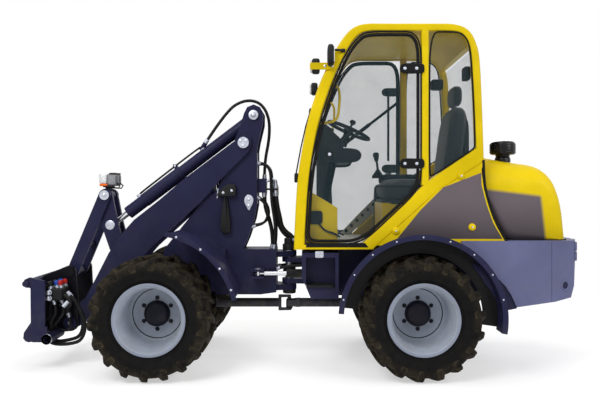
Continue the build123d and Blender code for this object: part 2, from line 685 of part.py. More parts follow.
# Rear frame
SILL_INNER = 215
FRAME_PLATE = 20
REAR_WALL_X = PIVOT_X - 330
FRAME_BASE_Z = 485
FRAME_TAIL_X = -1660
ENGINE_SEAT_Z = 720
STEER_SWEEP_Y = STEER_REAR[1] + 150
with BuildPart() as rear_frame:
    plate(
        [
            (REAR_WALL_X, FRAME_BASE_Z),
            (FRAME_TAIL_X + SEAT_GAP, FRAME_BASE_Z),
            (FRAME_TAIL_X + SEAT_GAP, ENGINE_SEAT_Z),
            (-1200, ENGINE_SEAT_Z),
            (-1130, CAB_FLOOR_Z - SEAT_GAP),
            (REAR_WALL_X, CAB_FLOOR_Z - SEAT_GAP),
        ],
        SILL_INNER,
        SILL_INNER + FRAME_PLATE,
    )
    plate(
        [(-10, 800), (-10, 640), (-70, 500), (-250, 500), (-250, 800)],
        SILL_INNER + FRAME_PLATE - 3,
        CAB_HALF_WIDTH - 20,
    )
    block(-130, 0, SILL_INNER, STEER_SWEEP_Y, STEER_Z - 60, STEER_Z + 60, Mode.SUBTRACT)
    block(-228, -36, CAB_HALF_WIDTH - 125, CAB_HALF_WIDTH, 576, 770, Mode.SUBTRACT)
    mirror(about=Plane.XZ)
    block(REAR_WALL_X - 20, REAR_WALL_X, -SILL_INNER - 5, SILL_INNER + 5, FRAME_BASE_Z, 800)
    block(-1340, -1320, -SILL_INNER - 5, SILL_INNER + 5, 485, 700)
    for band in (REAR_LUG_HIGH, REAR_LUG_LOW):
        lug(REAR_WALL_X + 2, 110, band)
        bar((PIVOT_X, 0, band[0]), (PIVOT_X, 0, band[1]), PIVOT_PIN_RADIUS + PIN_GAP, Mode.SUBTRACT)
    for side in (-1, 1):
        low, high = sorted((side * 66, side * 82))
        block(REAR_WALL_X - 2, PIVOT_X - 130, low, high, REAR_LUG_LOW[1] - 2, REAR_LUG_HIGH[0] + 2)
        low, high = sorted((side * 120, side * 210))
        for z in (STEER_Z - 30, STEER_Z + 16):
            block(REAR_WALL_X - 2, STEER_REAR[0] + 30, low, high, z, z + 14)
    bar((*STEER_REAR, STEER_Z - 38), (*STEER_REAR, STEER_Z + 44), 14)
    for side in (-1, 1):
        low, high = sorted((side * 190, side * 260))
        block(REAR_AXLE_X - 70, REAR_AXLE_X + 70, low, high, PAD_Z, max(FRAME_BASE_Z, PAD_Z) + 15)
save(rear_frame.part, "rear_frame")

with BuildPart() as engine:
    block(-1600, -1215, -280, 280, ENGINE_SEAT_Z + SEAT_GAP, 1210)
    block(-1312, -1215, -200, 200, 540, ENGINE_SEAT_Z + 10)
save(engine.part, "engine")

# Counterweight: casting round the engine, cut back behind the wheels
ARCH_RADIUS = REAR_FENDER_RADIUS + FENDER_THICKNESS + MOVING_GAP
ARCH_EDGE = [
    (-1040, TAIL_TOP_Z), (-1040, 826), (-1193, 701), (-1267, 643), (-1320, 590), (-1358, 531), (-1400, 440)
]
with BuildPart() as counterweight:
    slab(
        [
            (-1290, -TAIL_HALF_WIDTH),
            (-1640, -TAIL_HALF_WIDTH),
            (-1790, -TAIL_HALF_WIDTH + 70),
            (TAIL_X, -TAIL_HALF_WIDTH + 170),
            (TAIL_X, TAIL_HALF_WIDTH - 170),
            (-1790, TAIL_HALF_WIDTH - 70),
            (-1640, TAIL_HALF_WIDTH),
            (-1290, TAIL_HALF_WIDTH),
        ],
        440,
        TAIL_TOP_Z,
    )
    plate(
        [
            (TAIL_X - 20, 400),
            (TAIL_X - 20, 735),
            (TAIL_X, 735),
            (TAIL_X + 75, 509),
            (-1290, 440),
            (-1290, 400),
        ],
        -600,
        600,
        Mode.SUBTRACT,
    )
    block(FRAME_TAIL_X, -1200, -330, 330, FRAME_BASE_Z - SEAT_GAP, 1000, Mode.SUBTRACT)
    block(-1400, -1200, -340, 340, 300, 1000, Mode.SUBTRACT)
    for side in (-1, 1):
        near, far = sorted((side * (CAB_HALF_WIDTH + 4), side * TAIL_HALF_WIDTH))
        plate([(-1300, TAIL_TOP_Z), *ARCH_EDGE[:4], (-1300, 613)], near, far)
    plate([(-1200, 400), (-1200, 700), *ARCH_EDGE[3:]], -600, 600, Mode.SUBTRACT)
    cross_bar((REAR_AXLE_X, AXLE_Z), -600, 600, ARCH_RADIUS, Mode.SUBTRACT)
save(counterweight.part, "counterweight")

# Cab: floor, side frames, rear wall and roof
CAB_INNER_Y = CAB_HALF_WIDTH - CAB_POST_DEPTH
FLOOR_TOP = CAB_FLOOR_Z + FLOOR_THICKNESS
WAIST_Z = 1480
ROOF_DRAWN = 2290


def up(z):
    """Height drawn above the cab's waist, stretched to the roof's real height."""
    return WAIST_Z + (z - WAIST_Z) * (ROOF_Z - WAIST_Z) / (ROOF_DRAWN - WAIST_Z)


PANEL_TOP = [(-1190, 1395), (-880, 1195), (-470, CAB_FLOOR_Z)]
CAB_EDGE = [
    (42, CAB_FLOOR_Z),
    (22, 1269),
    (-47, up(1666)),
    (-115, up(1882)),
    (-244, up(2161)),
    (-318, up(2240)),
    (-404, ROOF_Z),
    (-989, ROOF_Z),
    (-1090, up(2235)),
    (-1167, up(2072)),
    (-1190, 1468),
] + PANEL_TOP
DOOR_OPENING = [
    (-27, FLOOR_TOP),
    (-56, 1319),
    (-117, up(1636)),
    (-196, up(1884)),
    (-295, up(2112)),
    (-370, up(2205)),
    (-424, up(2240)),
    (-786, up(2240)),
    (-786, 1215),
    (-392, FLOOR_TOP),
]
QUARTER_OPENING = [
    (-835, up(2238)),
    (-1040, up(2238)),
    (-1105, up(2160)),
    (-1138, 1477),
    (-835, 1280),
]


def inset(outline, gap):
    """Outline moved inwards by a gap."""
    with BuildSketch() as profile:
        with BuildLine():
            Polyline(*outline, close=True)
        make_face()
        offset(amount=-gap, kind=Kind.INTERSECTION, mode=Mode.REPLACE)
    return profile.sketch


def flat_plate(face, y_low, y_high, mode=Mode.ADD):
    """Plate from a ready face drawn in X and Z."""
    extrude(side_plane(y_high) * face, amount=y_high - y_low, mode=mode)


with BuildPart() as cab_side_left:
    plate(CAB_EDGE, CAB_INNER_Y, CAB_HALF_WIDTH)
    plate(DOOR_OPENING, CAB_INNER_Y, CAB_HALF_WIDTH, Mode.SUBTRACT)
    plate(QUARTER_OPENING, CAB_INNER_Y, CAB_HALF_WIDTH, Mode.SUBTRACT)
save(mirror(cab_side_left.part, about=Plane.XZ), "cab_side_right")
save(cab_side_left.part, "cab_side_left")

WALL_Y = CAB_INNER_Y - SEAT_GAP
with BuildPart() as cab_floor:
    plate(
        [(38, CAB_FLOOR_Z), (36, FLOOR_TOP), (-1190, FLOOR_TOP), (-1190, CAB_FLOOR_Z)], -WALL_Y, WALL_Y
    )
save(cab_floor.part, "cab_floor")

HOOD_HINGE = (-1212, 1458)
with BuildPart() as cab_rear_wall:
    plate(
        [(-1160, FLOOR_TOP), (-1160, 1470), (-1188, 1470), (-1188, FLOOR_TOP)], -WALL_Y, WALL_Y
    )
    block(HOOD_HINGE[0] - 10, -1186, 205, 240, HOOD_HINGE[1] - 8, HOOD_HINGE[1] + 8)
    cross_bar(HOOD_HINGE, 210, 290, 7)
    mirror(about=Plane.XZ)
save(cab_rear_wall.part, "cab_rear_wall")

with BuildPart() as cab_roof:
    plate(
        [
            (-250, up(2150)),
            (-320, up(2239)),
            (-404, ROOF_Z - 2),
            (-989, ROOF_Z - 2),
            (-1090, up(2232)),
            (-1135, up(2140)),
            (-1095, up(2130)),
            (-1060, up(2205)),
            (-980, ROOF_Z - ROOF_THICKNESS),
            (-415, ROOF_Z - ROOF_THICKNESS),
            (-345, up(2200)),
            (-290, up(2135)),
        ],
        -WALL_Y,
        WALL_Y,
    )
save(cab_roof.part, "cab_roof")

SCREEN_EDGE = [(34, FLOOR_TOP + 2), (14, 1268), (-55, up(1663)), (-123, up(1879)), (-249, up(2147))]
SCREEN_BACK = [(x - GLASS_THICKNESS, z) for x, z in reversed(SCREEN_EDGE)]
with BuildPart() as cab_glass:
    plate(SCREEN_EDGE + SCREEN_BACK, -WALL_Y, WALL_Y)
    plate(
        [
            (-1137, up(2132)),
            (-1163, up(2068)),
            (-1184, 1472),
            (-1176, 1472),
            (-1155, up(2066)),
            (-1129, up(2130)),
        ],
        -WALL_Y,
        WALL_Y,
    )
    flat_plate(inset(QUARTER_OPENING, SEAT_GAP), CAB_HALF_WIDTH - 34, CAB_HALF_WIDTH - 26)
    flat_plate(inset(QUARTER_OPENING, SEAT_GAP), -CAB_HALF_WIDTH + 26, -CAB_HALF_WIDTH + 34)
save(cab_glass.part, "cab_glass")

# Doors, hinged on the middle posts
HINGE_X = -803
HINGE_RADIUS = 9
HINGE_Y = CAB_HALF_WIDTH + HINGE_RADIUS + SEAT_GAP
DOOR_OUTER_Y = CAB_HALF_WIDTH - 2
DOOR_FACE = inset(DOOR_OPENING, MOVING_GAP)
DOOR_HOLE = inset(DOOR_OPENING, MOVING_GAP + DOOR_BORDER)
DOOR_PANE = inset(DOOR_OPENING, MOVING_GAP + DOOR_BORDER + SEAT_GAP)
with BuildPart() as door_left:
    flat_plate(DOOR_FACE, DOOR_OUTER_Y - DOOR_THICKNESS, DOOR_OUTER_Y)
    flat_plate(DOOR_HOLE, DOOR_OUTER_Y - DOOR_THICKNESS, DOOR_OUTER_Y, Mode.SUBTRACT)
    block(-400, -118, DOOR_OUTER_Y - 62, DOOR_OUTER_Y - 26, 1388, 1484)
    block(-140, -98, DOOR_OUTER_Y - 46, DOOR_OUTER_Y - 26, 1402, 1440)
    for z in (1345, up(1960)):
        block(-776, -650, DOOR_OUTER_Y - 1, DOOR_OUTER_Y + 12, z, z + 70)
        block(HINGE_X, -650, CAB_HALF_WIDTH + 5, CAB_HALF_WIDTH + 13, z, z + 70)
        bar((HINGE_X, HINGE_Y, z), (HINGE_X, HINGE_Y, z + 70), HINGE_RADIUS)
save(mirror(door_left.part, about=Plane.XZ), "door_right")
save(door_left.part, "door_left")

with BuildPart() as door_glass_left:
    flat_plate(DOOR_PANE, DOOR_OUTER_Y - 20, DOOR_OUTER_Y - 14)
save(mirror(door_glass_left.part, about=Plane.XZ), "door_glass_right")
save(door_glass_left.part, "door_glass_left")

# Side panels and rear mudguards
SEAM = [(-1331, TAIL_TOP_Z + SEAT_GAP), (-1254, 1048), (-1190, 1209), (-1172, 1338)]
PANEL_LOW_Z = 850
PANEL_FOOT_X = -470 - (PANEL_LOW_Z - CAB_FLOOR_Z) * 410 / 372
PANEL_THICKNESS = 16
with BuildPart() as side_panels:
    plate(
        [
            (-1190, 1395),
            (-880, 1195),
            (PANEL_FOOT_X, PANEL_LOW_Z),
            (-1284, PANEL_LOW_Z),
            (-1284, TAIL_TOP_Z + SEAT_GAP),
            *SEAM,
        ],
        CAB_HALF_WIDTH - PANEL_THICKNESS,
        CAB_HALF_WIDTH,
    )
    mirror(about=Plane.XZ)
save(side_panels.part, "side_panels")

with BuildPart() as rear_fenders:
    fender(REAR_AXLE_X, REAR_FENDER_RADIUS, 4, 190, CAB_HALF_WIDTH + SEAT_GAP, FENDER_OUTER_Y, 34)
    mirror(about=Plane.XZ)
save(rear_fenders.part, "rear_fenders")

# Engine hood, hinged along its front top edge
HOOD_OUTLINE = [
    (-1355, TAIL_TOP_Z + 6),
    (-1268, 1052),
    (-1204, 1212),
    (-1200, 1338),
    (-1206, 1440),
    (-1351, 1407),
    (-1451, 1394),
    (-1583, 1368),
    (-1649, 1315),
    (-1695, 1235),
    (-1722, 1110),
    (-1741, TAIL_TOP_Z + 6),
]
HOOD_SECTION = [  # Y, Z on one side
    (HOOD_HALF_WIDTH, TAIL_TOP_Z),
    (HOOD_HALF_WIDTH, 1210),
    (HOOD_HALF_WIDTH - 40, 1330),
    (HOOD_HALF_WIDTH - 110, 1400),
    (HOOD_HALF_WIDTH - 190, 1445),
]


def hood_solid(outline, section):
    """Overlap of a side outline and a cross section."""
    both = section + [(-y, z) for y, z in reversed(section)]
    with BuildPart(mode=Mode.PRIVATE) as body:
        with BuildSketch(side_plane(600)) as profile:
            with BuildLine():
                Polyline(*outline, close=True)
            make_face()
        extrude(profile.sketch, amount=1200)
        with BuildSketch(Plane(origin=(-1100, 0, 0), x_dir=(0, 1, 0), z_dir=(1, 0, 0))) as front:
            with BuildLine():
                Polyline(*both, close=True)
            make_face()
        extrude(front.sketch, amount=-800, mode=Mode.INTERSECT)
    return body.part


HOOD_INSIDE = [
    (-1380, TAIL_TOP_Z - 20),
    (-1150, TAIL_TOP_Z - 20),
    (-1150, 1405),
    (-1210, 1425),
    (-1351, 1407 - HOOD_WALL),
    (-1451, 1394 - HOOD_WALL),
    (-1578, 1368 - HOOD_WALL),
    (-1640, 1307),
    (-1683, 1232),
    (-1722 + HOOD_WALL, 1108),
    (-1741 + HOOD_WALL, TAIL_TOP_Z - 20),
]
LOUVRES = 6
LOUVRE_PITCH = 38
LOUVRE_HALF = HOOD_HALF_WIDTH - 150
INSIDE_SECTION = [(y - HOOD_WALL, z - (0 if z < 1200 else 8)) for y, z in HOOD_SECTION]
INSIDE_SECTION[0] = (HOOD_HALF_WIDTH - HOOD_WALL, TAIL_TOP_Z - 20)
with BuildPart() as hood:
    add(hood_solid(HOOD_OUTLINE, HOOD_SECTION))
    add(hood_solid(HOOD_INSIDE, INSIDE_SECTION), mode=Mode.SUBTRACT)
    for side in (-1, 1):
        low, high = sorted((side * 246, side * 286))
        block(HOOD_HINGE[0] - 14, HOOD_HINGE[0] + 6, low, high, HOOD_HINGE[1] - 28, HOOD_HINGE[1])
        cross_bar(HOOD_HINGE, low, high, 14)
        cross_bar(HOOD_HINGE, low, high, 7 + PIN_GAP, Mode.SUBTRACT)
    for number in range(LOUVRES):
        z = TAIL_TOP_Z + 60 + number * LOUVRE_PITCH
        plate([(-1715, z), (-1758, z - 14), (-1758, z), (-1715, z + 20)], -LOUVRE_HALF, LOUVRE_HALF)
save(hood.part, "hood")

CAP_X = -1398
with BuildPart() as air_cleaner:
    bar((CAP_X, 200, 1370), (CAP_X, 200, 1440), 52)
    add(hood_solid(HOOD_OUTLINE, HOOD_SECTION), mode=Mode.SUBTRACT)
    bar((CAP_X, 200, 1436), (CAP_X, 200, 1530), 86)
    bar((CAP_X, 200, 1530), (CAP_X, 200, 1549), 60)
save(air_cleaner.part, "air_cleaner")

# Cab fittings
with BuildPart() as seat_base:
    block(-1000, -560, -230, 230, FLOOR_TOP + SEAT_GAP, 1120)
save(seat_base.part, "seat_base")

with BuildPart() as seat_cushion:
    plate(
        [
            (-560, 1160),
            (-545, 1230),
            (-600, 1285),
            (-985, 1255),
            (-985, 1120 + SEAT_GAP),
            (-600, 1120 + SEAT_GAP),
        ],
        -235,
        235,
    )
save(seat_cushion.part, "seat_cushion")

with BuildPart() as seat_back:
    plate(
        [
            (-985 - SEAT_GAP, 1150),
            (-985 - SEAT_GAP, 1262),
            (-940, 1290),
            (-1035, 1760),
            (-1075, 1826),
            (-1150, 1826),
            (-1110, 1300),
            (-1080, 1150),
        ],
        -225,
        225,
    )
    plate([(-1085, 1820), (-1070, 1940), (-1100, 1957), (-1145, 1950), (-1150, 1820)], -130, 130)
save(seat_back.part, "seat_back")

WHEEL_TILT = 24
WHEEL_CENTRE = (-345, 0, 1640)
WHEEL_NORMAL = (-sin(radians(WHEEL_TILT)), 0, cos(radians(WHEEL_TILT)))
STEER_PLANE = Plane(WHEEL_CENTRE, x_dir=(0, 1, 0), z_dir=WHEEL_NORMAL)
COLUMN_RADIUS = 20
COLUMN_LENGTH = 110
with BuildPart() as dash_console:
    plate(
        [
            (-110, FLOOR_TOP + SEAT_GAP),
            (-240, FLOOR_TOP + SEAT_GAP),
            (-215, 1450),
            (-304, 1500),
            (-290, 1560),
            (-150, 1681),
            (-123, 1660),
            (-112, 1500),
        ],
        -130,
        130,
    )
    with BuildSketch(STEER_PLANE.offset(-12)):
        Circle(COLUMN_RADIUS + SEAT_GAP)
    extrude(amount=-COLUMN_LENGTH - SEAT_GAP, mode=Mode.SUBTRACT)
save(dash_console.part, "dash_console")

with BuildPart() as steering_wheel:
    with BuildSketch(STEER_PLANE.offset(-12)):
        Circle(170)
        Circle(144, mode=Mode.SUBTRACT)
        Rectangle(300, 30)
        with Locations((0, 75)):
            Rectangle(30, 150)
        Circle(38)
    extrude(amount=24)
    with BuildSketch(STEER_PLANE.offset(-12)):
        Circle(COLUMN_RADIUS)
    extrude(amount=-COLUMN_LENGTH)
save(steering_wheel.part, "steering_wheel")

with BuildPart() as control_console:
    block(-900, -560, -340, -245, FLOOR_TOP + SEAT_GAP, 1330)
    bar((-620, -290, 1328), (-600, -290, 1440), 14)
    bar((-602, -290, 1435), (-592, -290, 1500), 24)
save(control_console.part, "control_console")

# Lamps and mirrors
LAMP_OUTER = LEVER_HALF_WIDTH - 2
LAMP_FOOT = LINK_TOP[1] + 58
with BuildPart() as head_lamps:
    for side in (-1, 1):
        low, high = sorted((side * 6, side * LAMP_OUTER))
        plate(
            [
                (LINK_TOP[0] - 75, LAMP_FOOT + 16),
                (LINK_TOP[0] - 75, LAMP_FOOT + 86),
                (LINK_TOP[0] + 20, LAMP_FOOT + 102),
                (LINK_TOP[0] + 55, LAMP_FOOT + 92),
                (LINK_TOP[0] + 55, LAMP_FOOT + 4),
                (LINK_TOP[0] + 20, LAMP_FOOT),
            ],
            low,
            high,
        )
    block(LINK_TOP[0] - 16, LINK_TOP[0] + 16, -40, 40, LINK_TOP[1] + 38 + SEAT_GAP, LAMP_FOOT + 20)
save(head_lamps.part, "head_lamps")

with BuildPart() as cab_fittings:
    block(-225, -60, CAB_HALF_WIDTH + SEAT_GAP, CAB_HALF_WIDTH + 12, up(1990), up(1990) + 40)
    block(-130, -60, CAB_HALF_WIDTH - 70, CAB_HALF_WIDTH + 12, up(1990) - 25, up(1990) + 75)
    block(-290, -180, CAB_HALF_WIDTH + SEAT_GAP, CAB_HALF_WIDTH + 25, up(2100), up(2100) + 20)
    block(-200, -175, CAB_HALF_WIDTH + 18, CAB_HALF_WIDTH + 150, up(2100) - 200, up(2100) + 30)
    mirror(about=Plane.XZ)
save(cab_fittings.part, "cab_fittings")

CHAMFER_FOOT = Vector(-1790, TAIL_HALF_WIDTH - 70, 0)
CHAMFER_RUN = Vector(TAIL_X, TAIL_HALF_WIDTH - 170, 0) - CHAMFER_FOOT
CHAMFER_OUT = Vector(CHAMFER_RUN.Y, -CHAMFER_RUN.X, 0).normalized()
with BuildPart() as tail_lamps:
    for z in (774, 838):
        seat = CHAMFER_FOOT + CHAMFER_RUN * 0.36 + Vector(0, 0, z)
        bar(seat + CHAMFER_OUT * SEAT_GAP, seat + CHAMFER_OUT * 14, 27)
    mirror(about=Plane.XZ)
save(tail_lamps.part, "tail_lamps")

# Hoses: route points of each, straight runs with the widest arcs that fit
HOSE_RADIUS = 11
HITCH_HOSE_RADIUS = 8
LOOP_X = (MANIFOLD[0] + MANIFOLD[1]) / 2 - 20
HITCH_PLATE_X = HITCH_FRONT_X - 72 - SEAT_GAP
TILT_HOSE = [
    ELBOW_END + ELBOW_SLOPE * SEAT_GAP,
    ELBOW_END + ELBOW_SLOPE * 275,
    (PIVOT_X + 335, 0, 1862),
    (PIVOT_X + 215, 0, 1850),
    (PIVOT_X + 147, 0, 1745),
    (PIVOT_X + 143, 0, 1590),
    (LOOP_X, 0, 1410),
    (LOOP_X, 0, MANIFOLD[5] + SEAT_GAP),
]
TOWER_HOSE = [
    (LOOP_X, 45, MANIFOLD[4] - SEAT_GAP),
    (LOOP_X, 45, 1100),
    (LOOP_X - 35, 48, 1000),
    (LOOP_X - 60, 52, 895),
    (LOOP_X - 60, 52, FRAME_TOP_Z + SEAT_GAP),
]
JOINT_HOSE = [
    (FRONT_WALL_X - SEAT_GAP, 72, 650),
    (PIVOT_X + 10, 72, 650),
    (PIVOT_X - 85, 92, 628),
    (PIVOT_X - 175, 101, 628),
    (PIVOT_X - 250, 101, 648),
    (REAR_WALL_X + SEAT_GAP, 101, 648),
]
HITCH_HOSE = [
    (HITCH_PLATE_X, 80, 530),
    (HITCH_FRONT_X - 150, 80, 530),
    (HITCH_FRONT_X - 200, 82, 455),
    (HITCH_FRONT_X - 200, 86, 340),
    (HITCH_FRONT_X - 150, 88, 258),
    (HITCH_PLATE_X, 88, 258),
]


def hose(points, radius):
    """Round hose along its route points."""
    places = [Vector(*point) for point in points]
    radii = []
    for before, corner, after in zip(places, places[1:], places[2:]):
        inside = radians((before - corner).get_angle(after - corner))
        reach = 0.45 * min((before - corner).length, (after - corner).length)
        radii.append(reach * tan(inside / 2))
    print("hose radii", [round(value) for value in radii])
    with BuildLine() as path:
        FilletPolyline(*places, radius=radii)
    with BuildPart() as tube:
        with BuildSketch(Plane(origin=path.line @ 0, z_dir=path.line % 0)):
            Circle(radius)
        sweep(path=path.line)
    return tube.part


save(hose(TILT_HOSE, HOSE_RADIUS), "tilt_hose")
for name, points, radius in (
    ("tower_hose", TOWER_HOSE, HOSE_RADIUS),
    ("joint_hose", JOINT_HOSE, HOSE_RADIUS),
    ("hitch_hose", HITCH_HOSE, HITCH_HOSE_RADIUS),
):
    save(hose(points, radius), f"{name}_left")
    save(hose([(x, -y, z) for x, y, z in points], radius), f"{name}_right")
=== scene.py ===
"""Looks of the compact articulated wheel loader: pieces, finishes, stage and camera."""

import json

import bmesh
import bpy
import numpy as np
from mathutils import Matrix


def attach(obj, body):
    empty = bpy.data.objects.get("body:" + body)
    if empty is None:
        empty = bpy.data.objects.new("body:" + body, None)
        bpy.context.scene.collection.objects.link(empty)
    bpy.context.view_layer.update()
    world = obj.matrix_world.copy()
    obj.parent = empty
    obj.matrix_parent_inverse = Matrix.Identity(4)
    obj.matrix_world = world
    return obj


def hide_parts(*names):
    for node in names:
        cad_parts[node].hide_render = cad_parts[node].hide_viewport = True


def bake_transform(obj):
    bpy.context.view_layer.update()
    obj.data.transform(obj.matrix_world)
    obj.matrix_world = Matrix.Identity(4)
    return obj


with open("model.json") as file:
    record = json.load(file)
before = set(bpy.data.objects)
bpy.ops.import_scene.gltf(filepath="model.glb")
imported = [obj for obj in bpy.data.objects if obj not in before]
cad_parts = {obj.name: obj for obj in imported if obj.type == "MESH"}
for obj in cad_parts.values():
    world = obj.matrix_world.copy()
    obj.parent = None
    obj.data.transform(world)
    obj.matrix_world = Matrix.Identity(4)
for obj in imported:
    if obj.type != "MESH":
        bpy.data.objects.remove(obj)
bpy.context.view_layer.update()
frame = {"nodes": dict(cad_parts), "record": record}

bl_info = {
    "name": "Compact wheel loader",
    "version": (1, 0, 0),
    "blender": (4, 5, 0),
    "location": "View3D > Sidebar > Loader",
    "description": "Builds the loader's pieces, finishes and studio round its CAD frame",
    "category": "Object",
}

MM = 0.001
SIDES = {"left": 1, "right": -1}
LEFT = (0, 1, 0)
UP = (0, 0, 1)


def display(red, green, blue):
    """Linear colour of a display colour given from 0 to 255."""
    value = np.array([red, green, blue]) / 255
    linear = np.where(value <= 0.04045, value / 12.92, ((value + 0.055) / 1.055) ** 2.4)
    return tuple(linear.tolist())


def colour_prop(label, *values):
    """Colour property with a display colour as its default."""
    return bpy.props.FloatVectorProperty(
        name=label, description=f"Colour of the {label.lower()}", subtype="COLOR", size=3,
        min=0, max=1, default=display(*values),
    )


def length_prop(label, value):
    """Length property in metres."""
    return bpy.props.FloatProperty(
        name=label, description=f"{label} in metres", unit="LENGTH", default=value, min=0
    )


class LoaderColours(bpy.types.PropertyGroup):
    """Colours that a user would change."""

    yellow: colour_prop("Yellow paint", 236, 205, 2)
    navy: colour_prop("Navy paint", 33, 34, 66)
    tail: colour_prop("Tail casting paint", 106, 109, 146)
    rim: colour_prop("Rim paint", 172, 180, 194)
    flange: colour_prop("Rim flange paint", 146, 154, 172)
    panel: colour_prop("Side panel paint", 104, 95, 100)
    soil: colour_prop("Dried soil", 96, 85, 66)
    glass: colour_prop("Window tint", 20, 62, 74)


class LoaderSizes(bpy.types.PropertyGroup):
    """Sizes that a user would change."""

    seal: length_prop("Window seal width", 0.011)
    stud: length_prop("Wheel stud circle radius", 0.1025)
    camera_distance: length_prop("Camera distance", 4.45)
    camera_height: length_prop("Camera height", 1.209)


def colours():
    """Colour settings of the scene."""
    return bpy.context.scene.loader_colours


def sizes():
    """Size settings of the scene."""
    return bpy.context.scene.loader_sizes


# Surfaces

def grid_faces(rows, columns, around=False, along=False):
    """Quads of a grid; around joins the last column to the first, along the last row."""
    row, column = np.meshgrid(
        np.arange(rows if along else rows - 1),
        np.arange(columns if around else columns - 1),
        indexing="ij",
    )
    here = row * columns
    below = ((row + 1) % rows) * columns
    right = (column + 1) % columns
    quads = [here + column, here + right, below + right, below + column]
    return np.stack(quads, axis=-1).reshape(-1, 4)


class Shape:
    """Grids gathered in millimetres for one mesh."""

    def __init__(self):
        self.points = []
        self.faces = []
        self.finish = []
        self.dust = []
        self.count = 0

    def grid(self, points, around=False, along=False, finish=0, ends=False, dust=0.0):
        """Add a grid of points; ends closes the first and last rows with one face each."""
        rows, columns = points.shape[:2]
        quads = grid_faces(rows, columns, around, along) + self.count
        number = np.broadcast_to(finish, (rows, 1))[: rows if along else rows - 1]
        self.finish += np.repeat(number, len(quads) // len(number)).tolist()
        self.faces += quads.tolist()
        if ends:
            first = self.count + np.arange(columns)
            last = first + (rows - 1) * columns
            self.faces += [first.tolist(), last.tolist()]
            self.finish += [int(number[0, 0]), int(number[-1, 0])]
        self.points.append(points.reshape(-1, 3))
        self.dust.append(np.broadcast_to(dust, (rows, columns)).reshape(-1))
        self.count += rows * columns

    def copies(self, points, around=False, finish=0, ends=False, dust=0.0):
        """Add equal grids stacked on the first axis."""
        number, rows, columns = points.shape[:3]
        quads = grid_faces(rows, columns, around)
        shift = self.count + rows * columns * np.arange(number)
        whole = (quads[None] + shift[:, None, None]).reshape(-1, 4)
        self.faces += whole.tolist()
        self.finish += [finish] * len(whole)
        if ends:
            caps = np.stack([np.arange(columns), np.arange(columns) + (rows - 1) * columns])
            caps = (caps[None] + shift[:, None, None]).reshape(-1, columns)
            self.faces += caps.tolist()
            self.finish += [finish] * len(caps)
        self.points.append(points.reshape(-1, 3))
        self.dust.append(np.broadcast_to(dust, points.shape[:3]).reshape(-1))
        self.count += number * rows * columns

    def plate(self, outline, y_low, y_high, edge=3.0, finish=0):
        """Add a plate with a side-view outline and rounded edges."""
        self.grid(rounded_plate(outline, y_low, y_high, edge), around=True, finish=finish, ends=True)

    def box(self, low, high, power=8.0, finish=0, rows=16, columns=28):
        """Add a rounded box."""
        self.grid(rounded_box(low, high, power, rows, columns), around=True, finish=finish)

    def turn(self, profile, centre, axis, sides=40, finish=0):
        """Add a turned piece."""
        self.grid(turned(profile, centre, axis, sides), around=True, finish=finish)

    def tube(self, path, radius, across=LEFT, sides=12, finish=0):
        """Add a round bar or pipe with closed ends."""
        self.grid(pipe(path, radius, across, sides), around=True, finish=finish, ends=True)

    def loop(self, path, radius, across=LEFT, sides=8):
        """Add a round bar along a closed path."""
        self.grid(pipe(path, radius, across, sides, closed=True), around=True, along=True)

    def bolts(self, spots, axis, size=1.0, finish=0):
        """Add hex bolts with washers, one at each spot."""
        bolt = turned(np.array(BOLT) * size, (0, 0, 0), axis, 12)
        self.copies(bolt[None] + np.asarray(spots, dtype=float)[:, None, None], around=True, finish=finish)

    def build(self, name, body, slot, finishes, sharp=35, replaces=(), mirrored=False, blend=None):
        """Make the mesh object, outward faces first, and set it on its body, unless it blends between two
        bodies: then its transform is only baked.
        """
        points = np.concatenate(self.points) * MM
        if mirrored:
            points = points * (1, -1, 1)
        mesh = bpy.data.meshes.new(name)
        mesh.from_pydata(points.tolist(), [], self.faces)
        mesh.attributes.new("dust", "FLOAT", "POINT")
        mesh.attributes["dust"].data.foreach_set("value", np.concatenate(self.dust).astype(np.float32))
        mesh.polygons.foreach_set("material_index", np.array(self.finish, dtype=np.int32))
        for finish in finishes:
            mesh.materials.append(PAINT[finish])
        work = bmesh.new()
        work.from_mesh(mesh)
        bmesh.ops.remove_doubles(work, verts=work.verts, dist=2e-5)
        bmesh.ops.recalc_face_normals(work, faces=work.faces)
        work.to_mesh(mesh)
        work.free()
        mesh.shade_smooth()
        mesh.set_sharp_from_angle(angle=np.radians(sharp))
        piece = bpy.data.objects.new(name, mesh)
        bpy.context.scene.collection.objects.link(piece)
        if blend:
            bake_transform(piece)
        else:
            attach(piece, body)
        if replaces:
            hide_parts(*replaces)
        return piece


BOLT = [(0, 9), (7, 9), (8.5, 8), (8.5, 2.5), (13, 2.4), (13.5, 2), (13.5, 0), (0, 0)]


def smooth(points, steps=6, closed=False):
    """Quadratic B-spline through the middles of the control runs, clamped where open."""
    control = np.asarray(points, dtype=float)
    if closed:
        control = np.concatenate([control, control[:2]])
    else:
        control = np.concatenate([control[:1], control, control[-1:]])
    share = np.linspace(0, 1, steps, endpoint=False)[None, :, None]
    first, middle, last = control[:-2, None], control[1:-1, None], control[2:, None]
    curve = ((1 - share) ** 2 * first + (1 + 2 * share - 2 * share**2) * middle + share**2 * last) / 2
    curve = curve.reshape(-1, control.shape[1])
    if not closed:
        curve = np.concatenate([curve, control[-1:]])
    return curve


def soft_power(angle, power):
    """Superellipse coordinates |p|^n + |q|^n = 1 at an angle."""
    p = np.sign(np.cos(angle)) * np.abs(np.cos(angle)) ** (2 / power)
    q = np.sign(np.sin(angle)) * np.abs(np.sin(angle)) ** (2 / power)
    return p, q


